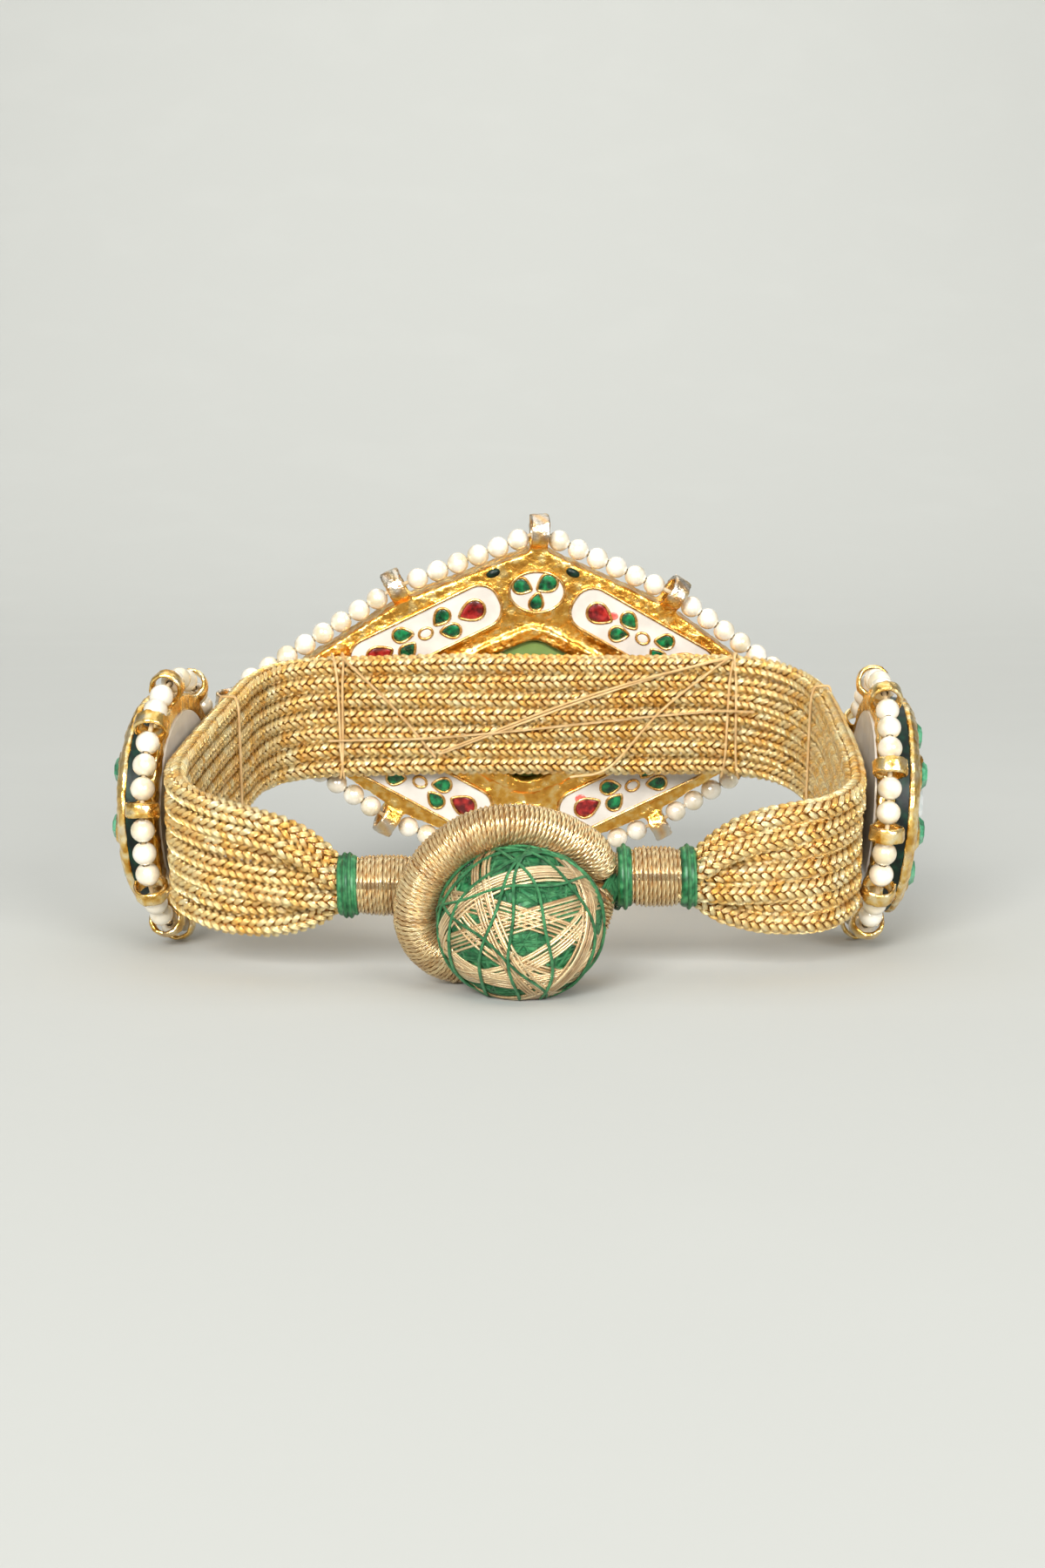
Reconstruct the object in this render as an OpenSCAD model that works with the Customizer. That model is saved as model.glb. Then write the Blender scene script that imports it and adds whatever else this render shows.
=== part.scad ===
/* [Wrist band] */
// Diameter of one braided zari cord
cord_d = 2.06; // [1.9:0.02:2.1]
// Height from one cord to the next in the flat stretch
cord_pitch = 2.18; // [2.16:0.01:2.3]
// Distance between cords where they are bundled in a sleeve
bundle_pitch = 1.83; // [1.82:0.01:1.88]
// Length over which the flat band gathers into the round bundle
gather_length = 4; // [3.5:0.5:5]

/* [Centre plaque] */
// Half height of the pearl line, from the middle to the top bail
plaque_half_h = 22.7; // [22.3:0.1:23]
// Half width of the pearl line, from the middle to a side bail
plaque_half_w = 37; // [36:0.1:38]
// Place of the bails between the corners, across and up
mid_bail = [17.3, 15.2]; // [14:0.1:18]
// Thickness of the cast gold body
plaque_t = 3.4; // [3:0.1:4]
// Half width of the pale green stone
stone_half_w = 19.2; // [18:0.1:19.5]
// Half height of the pale green stone
stone_half_h = 9.5; // [9:0.1:9.8]
// Length of a white enamel panel
panel_l = 19.8; // [18:0.1:20.5]
// Width of a white enamel panel
panel_w = 5.4; // [5:0.1:5.8]

/* [Side plaques] */
// Radius of the ring of pearls on a side plaque
ring_r = 13.9; // [13.6:0.1:14.2]
// Radius of the gold rim that carries the bails
rim_r = 12.3; // [12:0.1:12.4]
// Radius of the domed kundan face
face_r = 12.2; // [11.8:0.1:12.3]

/* [Pearls] */
// Diameter of a pearl on a side plaque
side_pearl_d = 2.5; // [2.4:0.02:2.5]
// Diameter of a pearl on the centre plaque
centre_pearl_d = 2.52; // [2.4:0.02:2.54]
// Diameter of the stringing thread
thread_d = 0.5; // [0.4:0.05:0.6]
// Diameter of the hole through a pearl
drill_d = 0.8; // [0.7:0.05:1]

/* [Clasp] */
// Radius of a sleeve wound with gold thread
sleeve_r = 2.95; // [2.8:0.05:3]
// Radius of a ring wound with green thread
green_r = 3.25; // [3.1:0.05:3.4]
// Radius of the loop where it passes round the button
loop_r = 2.15; // [2:0.05:2.2]
// Half width of the thread button
button_half_w = 8.1; // [7.8:0.1:8.2]
// Half height of the thread button
button_half_h = 7.4; // [7.2:0.1:7.5]

/* [Hidden] */
$fn = 48;
fit = 0.06;

// How the worn shape lies on a table: the tall centre plaque lifts the far side
band_tilt = 14.3;
band_lift = 17.26;
// Moves the middle of the whole shape's base to the origin
base_shift = [-0.442, 2.004];

// Where each plaque is bound to the band, and how it is turned
centre_place = [1.6, 29.4, -0.5];
centre_turn = 5;
centre_roll = 2.9;
left_place = [-38.4, -1.2, -1.05];
left_turn = -8.5;
left_lean = -2;
right_place = [39.65, -2.7, -0.7];
right_turn = 0;
right_lean = 3.6;

// The middle of the band seen from above, from the left sleeve round to the right
band_route = [[-16.9, -26.7], [-18.7, -26.7], [-22.7, -25.9], [-27.3, -24.5], [-32.2, -21.9],
  [-35.9, -17.6], [-37.0, -12.5], [-36.4, -6.2], [-35.4, 0.2], [-34.3, 6.4], [-33.1, 12.4],
  [-32.0, 17.8], [-29.5, 22.7], [-24.8, 25.3], [-17.0, 25.9], [-8.0, 26.0], [0.7, 26.0],
  [9.0, 26.2], [17.0, 26.5], [24.6, 26.2], [30.6, 23.8], [34.3, 19.2], [36.0, 13.4], [36.5, 7.0],
  [36.6, 0.0], [36.6, -7.0], [36.4, -13.0], [35.6, -18.2], [32.5, -22.4], [27.8, -24.3],
  [23.2, -25.2], [18.8, -25.8], [17.0, -25.8]];
route_steps = 2;
cord_sides = 8;
cord_count = 7;
// Height of each sleeve above the middle of the band
left_sleeve_z = -0.7;
right_sleeve_z = -0.1;
// Where each cord sits in the round bundle: across and up, in bundle pitches
bundle_seats = [[0, -1], [0.87, -0.5], [-0.87, -0.5], [0, 0], [0.87, 0.5], [-0.87, 0.5], [0, 1]];

// Bails round a side plaque, listed by how many pearls follow each
left_first_bail = 57;
left_pearl_runs = [3, 3, 2, 1, 3, 3, 3, 3, 3, 2];
right_first_bail = 77;
right_pearl_runs = [3, 2, 2, 2, 2, 3, 3, 3, 3, 3];
side_bail_w = 1.8;
side_bail_r = 1.9;
side_bail_hole_r = 1.4;
pearl_gap = 0.12;

centre_bail_w = 2.3;
centre_bail_r = 2.2;
centre_bail_hole_r = 1.65;
centre_pearl_pitch = 2.65;
centre_pearl_z = -1.2;
first_pearl = 2.75;
body_inset = 1.7;

panel_centre = [13.5, 9.75];
panel_slope = 28.3;
panel_corner_r = 2.3;
cloison_w = 0.36;
cloison_h = 0.2;
enamel_t = 0.45;
enamel_proud = 0.1;
disc_up = 15.4;
disc_half = [3.35, 2.55];
side_disc_out = 28.3;
side_disc_half = [2.45, 2.45];

// How far raised work is rooted in the body
root = 0.5;
rail_h = 0.5;
groove_floor_h = 0.175;
stone_corner_r = 3;
// Growth of the double bezel line beyond the stone
// Columns: half width, half height, corner radius
bezel_outer = [3.6, 1.95, 1.4];
bezel_groove_out = [2.4, 1.3, 0.9];
bezel_groove_in = [1.5, 0.8, 0.5];
bezel_front = [2, 1, 0.6];
// The stone is open at the back and stepped at both faces
stone_back_z = -0.9;
stone_back_step = 0.5;
stone_back_share = 0.93;
stone_front_step = 1.9;
stone_front_share = 0.62;
front_bezel_h = 0.9;
front_stone_half = [2.5, 2.0];
front_stone_step = 6.3;
front_stone_h = 1.5;
front_stone_seat = 0.6;
front_stone_cut = 1.1;
pocket_depth = 2;
collar_w = 0.5;
collar_h = 0.5;
corner_stone_r = 2.1;
corner_stone_h = 2;
// A cut stone: share of its height below the girdle, and width of its table
girdle_share = 0.55;
table_share = 0.64;
stone_sides = 8;
// Sides of a bail and of the large turned shapes
bail_sides = 32;
round_sides = 96;

back_z = -0.9;
back_enamel_r = 10.4;
wall_r = 11.7;
wall_from = 1.0;
wall_to = 2.5;
face_z = 3.8;
round_stone_r = 4.2;
petal_r = 1.95;
petal_out = 8.1;
petal_count = 8;
side_stone_seat = 0.7;
round_stone_h = 2.6;
petal_h = 1.8;
round_collar_h = 0.9;
petal_collar_h = 0.6;
petal_collar_w = 0.35;
face_step = 0.6;
dome_in = 1;

// Path of the closing loop, from the right inner ring round the button and back
// Columns: across, depth, height, share of the loop radius
loop_route = [[10.9, -25.9, 1.3, 0.56], [9.6, -25.95, 1.32, 0.56], [8.5, -26.9, 1.9, 0.77], [6.9, -29.2, 4.4, 0.93],
  [3.6, -31.0, 6.9, 0.93], [-0.6, -31.9, 8.0, 0.93], [-4.6, -32.1, 7.0, 0.977],
  [-8.1, -32.2, 4.1, 1], [-9.9, -32.2, 0.4, 1], [-10.0, -32.1, -3.0, 1],
  [-8.5, -31.4, -6.0, 0.977], [-5.4, -30.3, -7.8, 0.977], [-1.2, -29.3, -8.15, 0.953],
  [3.4, -28.6, -7.7, 0.93], [7.0, -27.8, -5.2, 0.93], [8.5, -26.9, -2.1, 0.77],
  [9.6, -25.95, -1.52, 0.56], [10.9, -25.9, -1.5, 0.56]];
loop_steps = 3;
loop_sides = 10;
button_place = [0.4, -35.6, -1.1];
left_ring_span = [-18.5, -16.4];
left_sleeve_span = [-16.35, -10.6];
right_inner_span = [10.0, 12.15];
right_sleeve_span = [12.2, 16.35];
right_outer_span = [16.4, 18.6];
left_sleeve_y = -26.7;
right_sleeve_y = -25.8;
ring_bore_r = 2.95;

// Path of the wound shank, from the left sleeve to the button
// Columns: across, depth, height, radius
shank_route = [[left_sleeve_span[1] + fit, left_sleeve_y, left_sleeve_z, 2.6],
  [-10.0, left_sleeve_y, left_sleeve_z, 2.5], [-9.2, -26.9, -0.7, 2.3], [-7.4, -27.8, -0.7, 1.9], [-5.6, -29.2, -0.8, 1.7], [-4.9, -29.8, -0.85, 1.7]];
ring_soften = 0.35;
sleeve_soften = 0.3;
button_steps = 16;
shank_sides = 12;
bundle_gap = 0.12;

// Corners of a quarter of the pearl line, and the runs of pearls between them
tip_half = 1.5;
tip = [plaque_half_w, tip_half];
// Columns: from, to, number of pearls
quarter_runs = [[[0, plaque_half_h], mid_bail, 6], [mid_bail, tip, 8]];

function lerp(a, b, t) = a + (b - a) * t;
function unit(v) = v / norm(v);

// A point on a smooth curve through the points of a route
function curve_point(route, i, t) =
  let (last = len(route) - 1,
       p1 = route[i], p2 = route[min(i + 1, last)],
       p0 = i > 0 ? route[i - 1] : 2 * p1 - p2,
       p3 = i + 2 <= last ? route[i + 2] : 2 * p2 - p1)
  0.5 * (2 * p1 + (p2 - p0) * t + (2 * p0 - 5 * p1 + 4 * p2 - p3) * pow(t, 2)
    + (3 * p1 - p0 - 3 * p2 + p3) * pow(t, 3));

function smooth_route(route, steps) = [
  for (i = [0:len(route) - 2], s = [0:steps - 1]) curve_point(route, i, s / steps),
  route[len(route) - 1]];

function tangent(path, i, closed = false) =
  let (n = len(path))
  closed ? unit(path[(i + 1) % n] - path[(i + n - 1) % n])
    : unit(path[min(i + 1, n - 1)] - path[max(i - 1, 0)]);

// Share of the round bundle in the shape at a distance from a sleeve's mouth
function gather(d) = exp(-max(d, 0) / gather_length);
function mouth_distance(p) = p[0] < 0
  ? norm([p[0] - left_ring_span[0], p[1] - left_sleeve_y])
  : norm([p[0] - right_outer_span[1], p[1] - right_sleeve_y]);
function is_inside_sleeve(p) = p[1] < 0
  && p[0] > left_ring_span[0] && p[0] < right_outer_span[1];
function bundle_share(p) = is_inside_sleeve(p) ? 1 : gather(mouth_distance(p));

// The line of one cord: flat band where it is free, round bundle at the sleeves
function cord_path(k) =
  let (plan = smooth_route(band_route, route_steps))
  [for (i = [0:len(plan) - 1])
    let (share = bundle_share(plan[i]),
         sideways = 1 - pow(1 - share, 3),
         dir = tangent(plan, i),
         across = [dir[1], -dir[0]],
         seat = bundle_seats[k] * bundle_pitch,
         sleeve_z = plan[i][0] < 0 ? left_sleeve_z : right_sleeve_z,
         xy = plan[i] + across * seat[0] * sideways)
    [xy[0], xy[1], lerp((k - (cord_count - 1) / 2) * cord_pitch, seat[1] + sleeve_z, share)]];
function cord_radii() =
  [for (p = smooth_route(band_route, route_steps)) lerp(cord_d, bundle_pitch - bundle_gap,
    bundle_share(p)) / 2];

function ring_points(path, i, radius, sides, ref, closed) =
  let (along = tangent(path, i, closed), side = unit(cross(along, ref)), up = cross(side, along))
  [for (j = [0:sides - 1]) path[i] + radius * (cos(360 * j / sides) * side
    + sin(360 * j / sides) * up)];

// A round tube swept along a path, with a radius for each point
module tube(path, radii, sides, ref = [0, 0, 1], closed = false) {
  count = len(path);
  points = [for (i = [0:count - 1]) each ring_points(path, i, radii[i], sides, ref, closed)];
  walls = [for (i = [0:count - (closed ? 1 : 2)], j = [0:sides - 1])
    let (row = i * sides, next = ((i + 1) % count) * sides, k = (j + 1) % sides)
    each [[row + j, row + k, next + k], [row + j, next + k, next + j]]];
  ends = [[for (j = [sides - 1:-1:0]) j], [for (j = [0:sides - 1]) (count - 1) * sides + j]];
  polyhedron(points, closed ? walls : concat(walls, ends), convexity = 6);
}

module in_band() {
  translate([base_shift[0], base_shift[1], band_lift])
    rotate([band_tilt, 0, 0])
      children();
}

// The centre plaque is drawn flat, seen from the wrist, with its front downwards
module in_centre() {
  in_band() translate(centre_place)
    rotate([0, 0, centre_turn]) rotate([0, centre_roll, 0]) rotate([90, 0, 0])
      children();
}

// A side plaque is drawn flat, with its front upwards
module in_left() {
  in_band() translate(left_place)
    rotate([0, 0, left_turn]) rotate([0, left_lean, 0]) rotate([90, 0, -90])
      children();
}

module in_right() {
  in_band() translate(right_place)
    rotate([0, 0, right_turn]) rotate([0, right_lean, 0]) rotate([90, 0, 90])
      children();
}

// Outline of the plaque set in from the pearl line, as a ten sided shape
upper_dir = unit([mid_bail[0], mid_bail[1] - plaque_half_h]);
lower_dir = unit([plaque_half_w - mid_bail[0], tip_half - mid_bail[1]]);
function edge_normal(dir) = [-dir[1], dir[0]];
function edge_reach(normal, inset) = normal * mid_bail - inset;
function meet(n1, c1, n2, c2) =
  let (d = n1[0] * n2[1] - n1[1] * n2[0])
  [(c1 * n2[1] - c2 * n1[1]) / d, (n1[0] * c2 - n2[0] * c1) / d];
function quarter_outline(inset) =
  let (n1 = edge_normal(upper_dir), n2 = edge_normal(lower_dir),
       c1 = edge_reach(n1, inset), c2 = edge_reach(n2, inset),
       side_x = plaque_half_w - inset)
  [[0, c1 / n1[1]], meet(n1, c1, n2, c2), [side_x, (c2 - n2[0] * side_x) / n2[1]]];
function plaque_outline(inset) =
  let (q = quarter_outline(inset))
  [q[0], q[1], q[2],
   [q[2][0], -q[2][1]], [q[1][0], -q[1][1]], [0, -q[0][1]],
   [-q[1][0], -q[1][1]], [-q[2][0], -q[2][1]], [-q[2][0], q[2][1]], [-q[1][0], q[1][1]]];

// A rhombus whose corners are rounded by short arcs
function rhombus(half_w, half_h, corner_r, steps = 3) =
  let (lean = atan2(half_h, half_w), inner = corner_r / cos(lean))
  [for (c = [0:3])
    let (is_side = c % 2 == 0,
         axis = c * 90,
         reach = is_side ? half_w - corner_r / sin(lean) : half_h - corner_r / cos(lean),
         spread = is_side ? 90 - lean : lean)
    for (s = [0:steps])
      let (a = axis - spread + 2 * spread * s / steps)
      [reach * cos(axis) + corner_r * cos(a), reach * sin(axis) + corner_r * sin(a)]];

function cut_rectangle(half_l, half_w, cut) =
  [[half_l, half_w - cut], [half_l - cut, half_w], [cut - half_l, half_w],
   [-half_l, half_w - cut], [-half_l, cut - half_w], [cut - half_l, -half_w],
   [half_l - cut, -half_w], [half_l, cut - half_w]];

// A rectangle whose corners are rounded by short arcs
function round_rectangle(half_l, half_w, corner_r, steps = 4) =
  [for (c = [0:3])
    let (across = (c == 0 || c == 3 ? 1 : -1) * (half_l - corner_r),
         up = (c < 2 ? 1 : -1) * (half_w - corner_r))
    for (s = [0:steps])
      let (a = 90 * (c + s / steps))
      [across + corner_r * cos(a), up + corner_r * sin(a)]];

function oval(half, sides = 24) =
  [for (i = [0:sides - 1]) [half[0] * cos(360 * i / sides), half[1] * sin(360 * i / sides)]];

module slab(z_from, z_to) {
  translate([0, 0, z_from]) linear_extrude(z_to - z_from) children();
}

// Places its child on one of the four panels: sx and sy are 1 or -1
module on_panel(sx, sy) {
  translate([sx * panel_centre[0], sy * panel_centre[1]])
    rotate(-sx * sy * panel_slope)
      children();
}

module on_each_panel() {
  for (sx = [-1, 1], sy = [-1, 1]) on_panel(sx, sy) children();
}

module panel_shape(grow) {
  polygon(round_rectangle(panel_l / 2 + grow, panel_w / 2 + grow, panel_corner_r + grow));
}

module disc_shapes(grow) {
  for (s = [-1, 1]) {
    translate([0, s * disc_up]) polygon(oval(disc_half + [grow, grow]));
    translate([s * side_disc_out, 0]) polygon(oval(side_disc_half + [grow, grow]));
  }
}

// A stone with a flat table and eight sloped facets, standing on its seat
module cut_stone(half, height) {
  shape = cut_rectangle(half[0], half[1], front_stone_cut);
  linear_extrude(height * girdle_share) polygon(shape);
  translate([0, 0, height * girdle_share])
    linear_extrude(height * (1 - girdle_share), scale = table_share) polygon(shape);
}

module round_cut_stone(radius, height) {
  cylinder(r = radius, h = height * girdle_share, $fn = stone_sides);
  translate([0, 0, height * girdle_share])
    cylinder(r1 = radius, r2 = radius * table_share, h = height * (1 - girdle_share), $fn = stone_sides);
}

// Places a bail at each corner and each middle of the pearl line
module on_each_centre_bail() {
  mid_turn = (atan2(upper_dir[1], upper_dir[0]) + atan2(lower_dir[1], lower_dir[0])) / 2;
  for (s = [-1, 1]) {
    translate([0, s * plaque_half_h, centre_pearl_z]) children();
    translate([s * plaque_half_w, 0, centre_pearl_z]) rotate(90) children();
    for (t = [-1, 1])
      translate([s * mid_bail[0], t * mid_bail[1], centre_pearl_z])
        rotate(s * t * mid_turn) children();
  }
}

module on_each_front_stone() {
  for (i = [-1:1]) translate([i * front_stone_step, 0]) children();
}

module front_stone_shape(grow) {
  polygon(cut_rectangle(front_stone_half[0] + grow, front_stone_half[1] + grow,
    front_stone_cut + grow / 2));
}

module corner_circles(grow) {
  for (s = [-1, 1]) {
    translate([0, s * disc_up]) circle(corner_stone_r + grow);
    translate([s * side_disc_out, 0]) circle(corner_stone_r + grow);
  }
}

module stone_shape(growth) {
  polygon(rhombus(stone_half_w + growth[0], stone_half_h + growth[1], stone_corner_r + growth[2]));
}

module front_bezels() {
  slab(-plaque_t - collar_h, -plaque_t + root) {
    on_each_panel() on_each_front_stone() front_stone_shape(collar_w);
    corner_circles(collar_w);
  }
  slab(-plaque_t - front_bezel_h, -plaque_t + root) stone_shape(bezel_front);
}

module front_pockets() {
  slab(-plaque_t - pocket_depth, -plaque_t + front_stone_seat) {
    on_each_panel() on_each_front_stone() front_stone_shape(fit);
    corner_circles(fit);
  }
}

module back_rails() {
  slab(-root, groove_floor_h) stone_shape(bezel_outer);
  slab(-root, rail_h) difference() {
    stone_shape(bezel_outer);
    stone_shape(bezel_groove_out);
  }
  slab(-root, rail_h) stone_shape(bezel_groove_in);
}

// A round ribbon of metal standing across the pearl line
module bail_disc(radius, width) {
  rotate([90, 0, 90]) cylinder(r = radius, h = width, center = true, $fn = bail_sides);
}

module centre_frame() color("goldenrod") in_centre() {
  difference() {
    union() {
      slab(-plaque_t, 0) polygon(plaque_outline(body_inset));
      back_rails();
      slab(-root, cloison_h) {
        on_each_panel() panel_shape(cloison_w);
        disc_shapes(cloison_w);
      }
      front_bezels();
      on_each_centre_bail() bail_disc(centre_bail_r, centre_bail_w);
    }
    slab(-plaque_t - pocket_depth, pocket_depth) stone_shape([fit, fit, 0]);
    slab(enamel_proud - enamel_t - fit, pocket_depth) {
      on_each_panel() panel_shape(fit);
      disc_shapes(fit);
    }
    front_pockets();
    on_each_centre_bail() bail_disc(centre_bail_hole_r, centre_bail_w + 1);
  }
}

module centre_stone() color("darkseagreen") in_centre() {
  slab(-plaque_t, stone_back_z) stone_shape([0, 0, 0]);
  translate([0, 0, stone_back_z])
    linear_extrude(stone_back_step, scale = stone_back_share) stone_shape([0, 0, 0]);
  translate([0, 0, -plaque_t]) mirror([0, 0, 1])
    linear_extrude(stone_front_step, scale = stone_front_share) stone_shape([0, 0, 0]);
}

module enamel_panel(sx, sy) color("white") in_centre()
  slab(enamel_proud - enamel_t, enamel_proud) on_panel(sx, sy) panel_shape(0);

module enamel_disc(place, half) color("white") in_centre()
  slab(enamel_proud - enamel_t, enamel_proud) translate(place) polygon(oval(half));

module front_stones(sx, sy) color("lightcyan") in_centre()
  on_panel(sx, sy) on_each_front_stone()
    translate([0, 0, front_stone_seat - plaque_t - fit])
      mirror([0, 0, 1]) cut_stone(front_stone_half, front_stone_h + front_stone_seat);

module corner_stone(place) color("palegreen") in_centre()
  translate([place[0], place[1], front_stone_seat - plaque_t - fit])
    mirror([0, 0, 1]) round_cut_stone(corner_stone_r, corner_stone_h);

module on_each_centre_pearl() {
  for (sx = [-1, 1], sy = [-1, 1], run = quarter_runs) {
    from = [run[0][0] * sx, run[0][1] * sy];
    to = [run[1][0] * sx, run[1][1] * sy];
    dir = unit(to - from);
    for (i = [0:run[2] - 1])
      translate(concat(from + dir * (first_pearl + i * centre_pearl_pitch), [centre_pearl_z]))
        rotate(atan2(dir[1], dir[0]))
          children();
  }
}

module drilled_pearl(diameter) {
  rotate([0, 90, 0]) rotate_extrude() difference() {
    circle(d = diameter);
    translate([-diameter, -diameter]) square([diameter + drill_d / 2, 2 * diameter]);
  }
}

module centre_pearls() color("ivory") in_centre()
  on_each_centre_pearl() drilled_pearl(centre_pearl_d);

module centre_pearl_thread() color("beige") in_centre() {
  corners = [for (p = plaque_outline(0)) [p[0], p[1], centre_pearl_z]];
  tube(corners, [for (p = corners) thread_d / 2], 8, closed = true);
}

// Degrees from a bail to the next pearl, and between pearls, round a side plaque
bail_arc = (side_pearl_d / 2 + side_bail_w / 2 + pearl_gap) / ring_r * 180 / PI;
pearl_arc = (side_pearl_d + pearl_gap) / ring_r * 180 / PI;
function run_arc(pearls) = 2 * bail_arc + (pearls - 1) * pearl_arc;
function arc_total(runs, upto) = upto < 0 ? 0 : run_arc(runs[upto]) + arc_total(runs, upto - 1);
function spare(runs) = (360 - arc_total(runs, len(runs) - 1)) / len(runs);
function bail_angle(runs, first, i) = first - arc_total(runs, i - 1) - i * spare(runs);

module on_each_side_bail(runs, first) {
  for (i = [0:len(runs) - 1])
    rotate(bail_angle(runs, first, i)) translate([ring_r, 0, 0]) rotate(90) children();
}

module on_each_side_pearl(runs, first) {
  for (i = [0:len(runs) - 1], j = [0:runs[i] - 1])
    rotate(bail_angle(runs, first, i) - spare(runs) / 2 - bail_arc - j * pearl_arc)
      translate([ring_r, 0, 0]) rotate(90) children();
}

module on_each_petal() {
  for (i = [0:petal_count - 1])
    rotate(i * 360 / petal_count) translate([petal_out, 0, 0]) children();
}

module side_frame(runs, first) color("goldenrod") {
  enamel_seat = back_z + enamel_t - enamel_proud + fit;
  difference() {
    union() {
      rotate_extrude($fn = round_sides)
        polygon([[0, enamel_seat], [back_enamel_r + fit, enamel_seat], [back_enamel_r + fit, back_z],
          [rim_r, back_z], [rim_r, wall_from], [wall_r, wall_from], [wall_r, wall_to],
          [face_r, wall_to], [face_r, wall_to + face_step], [face_r - dome_in, face_z], [0, face_z]]);
      translate([0, 0, face_z - fit]) {
        cylinder(r = round_stone_r + collar_w, h = round_collar_h);
        on_each_petal()
          cylinder(r = petal_r + petal_collar_w, h = petal_collar_h, $fn = bail_sides);
      }
      on_each_side_bail(runs, first) bail_disc(side_bail_r, side_bail_w);
    }
    translate([0, 0, face_z - side_stone_seat]) {
      cylinder(r = round_stone_r + fit, h = pocket_depth);
      on_each_petal() cylinder(r = petal_r + fit, h = pocket_depth, $fn = bail_sides);
    }
    on_each_side_bail(runs, first) bail_disc(side_bail_hole_r, side_bail_w + 1);
  }
}

module side_back_enamel() color("white")
  translate([0, 0, back_z - enamel_proud]) cylinder(r = back_enamel_r, h = enamel_t, $fn = round_sides);

module side_wall_enamel() color("darkgreen")
  rotate_extrude($fn = round_sides)
    polygon([[wall_r + fit, wall_from + fit], [rim_r - 0.15, wall_from + fit],
      [face_r - 0.1, wall_to - fit], [wall_r + fit, wall_to - fit]]);

module side_centre_stone() color("lightcyan")
  translate([0, 0, face_z - side_stone_seat + fit]) round_cut_stone(round_stone_r, round_stone_h);

module side_petal_stones() color("palegreen")
  translate([0, 0, face_z - side_stone_seat + fit]) on_each_petal() round_cut_stone(petal_r, petal_h);

module side_pearls(runs, first) color("ivory")
  on_each_side_pearl(runs, first) drilled_pearl(side_pearl_d);

module side_pearl_thread() color("beige")
  rotate_extrude($fn = round_sides) translate([ring_r, 0]) circle(d = thread_d, $fn = 24);

module band_cord(k) color("gold") in_band()
  tube(cord_path(k), cord_radii(), cord_sides);

// A short wound piece lying along the band, with softened ends
module wound_piece(span, y, z, radius, soften) {
  length = span[1] - span[0];
  translate([span[0], y, z]) rotate([0, 90, 0]) rotate_extrude()
    polygon([[0, 0], [radius - soften, 0], [radius, soften], [radius, length - soften],
      [radius - soften, length], [0, length]]);
}

module green_ring(span, y, z) color("seagreen") in_band()
  difference() {
    wound_piece(span, y, z, green_r, ring_soften);
    translate([span[0] - 1, y, z]) rotate([0, 90, 0])
      cylinder(r = ring_bore_r, h = span[1] - span[0] + 2);
  }

module left_green_ring() green_ring(left_ring_span, left_sleeve_y, left_sleeve_z);

module left_sleeve() color("burlywood") in_band()
  wound_piece(left_sleeve_span, left_sleeve_y, left_sleeve_z, sleeve_r, sleeve_soften);

module right_inner_ring() green_ring(right_inner_span, right_sleeve_y, right_sleeve_z);

module right_sleeve() color("burlywood") in_band()
  wound_piece(right_sleeve_span, right_sleeve_y, right_sleeve_z, sleeve_r, sleeve_soften);

module right_outer_ring() green_ring(right_outer_span, right_sleeve_y, right_sleeve_z);

function xyz(row) = [row[0], row[1], row[2]];

module button_shank() color("burlywood") in_band()
  tube([for (row = shank_route) xyz(row)], [for (row = shank_route) row[3]], shank_sides);

module thread_button() color("mediumseagreen") in_band()
  translate(button_place) rotate([0, 90, 0]) rotate_extrude()
    polygon([for (i = [0:button_steps]) let (a = -90 + 180 * i / button_steps)
      [button_half_h * cos(a), button_half_w * sin(a)]]);

module closing_loop() color("burlywood") in_band() {
  rows = smooth_route(loop_route, loop_steps);
  tube([for (row = rows) xyz(row)], [for (row = rows) row[3] * loop_r], loop_sides, [0, 1, 0]);
}

centre_frame();
centre_stone();
enamel_panel(-1, 1);  // enamel_panel_upper_left
enamel_panel(1, 1);  // enamel_panel_upper_right
enamel_panel(-1, -1);  // enamel_panel_lower_left
enamel_panel(1, -1);  // enamel_panel_lower_right
enamel_disc([0, disc_up], disc_half);  // enamel_disc_top
enamel_disc([0, -disc_up], disc_half);  // enamel_disc_bottom
enamel_disc([-side_disc_out, 0], side_disc_half);  // enamel_disc_left
enamel_disc([side_disc_out, 0], side_disc_half);  // enamel_disc_right
front_stones(-1, 1);  // front_stones_upper_left
front_stones(1, 1);  // front_stones_upper_right
front_stones(-1, -1);  // front_stones_lower_left
front_stones(1, -1);  // front_stones_lower_right
corner_stone([0, disc_up]);  // corner_stone_top
corner_stone([0, -disc_up]);  // corner_stone_bottom
corner_stone([-side_disc_out, 0]);  // corner_stone_left
corner_stone([side_disc_out, 0]);  // corner_stone_right
centre_pearls();
centre_pearl_thread();
in_left() side_frame(left_pearl_runs, left_first_bail);  // left_plaque_frame
in_left() side_back_enamel();  // left_back_enamel
in_left() side_wall_enamel();  // left_wall_enamel
in_left() side_centre_stone();  // left_centre_stone
in_left() side_petal_stones();  // left_petal_stones
in_left() side_pearls(left_pearl_runs, left_first_bail);  // left_pearls
in_left() side_pearl_thread();  // left_pearl_thread
in_right() mirror([1, 0, 0]) side_frame(right_pearl_runs, right_first_bail);  // right_plaque_frame
in_right() side_back_enamel();  // right_back_enamel
in_right() side_wall_enamel();  // right_wall_enamel
in_right() side_centre_stone();  // right_centre_stone
in_right() side_petal_stones();  // right_petal_stones
in_right() mirror([1, 0, 0]) side_pearls(right_pearl_runs, right_first_bail);  // right_pearls
in_right() side_pearl_thread();  // right_pearl_thread
band_cord(0);  // band_cord_1
band_cord(1);  // band_cord_2
band_cord(2);  // band_cord_3
band_cord(3);  // band_cord_4
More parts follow.
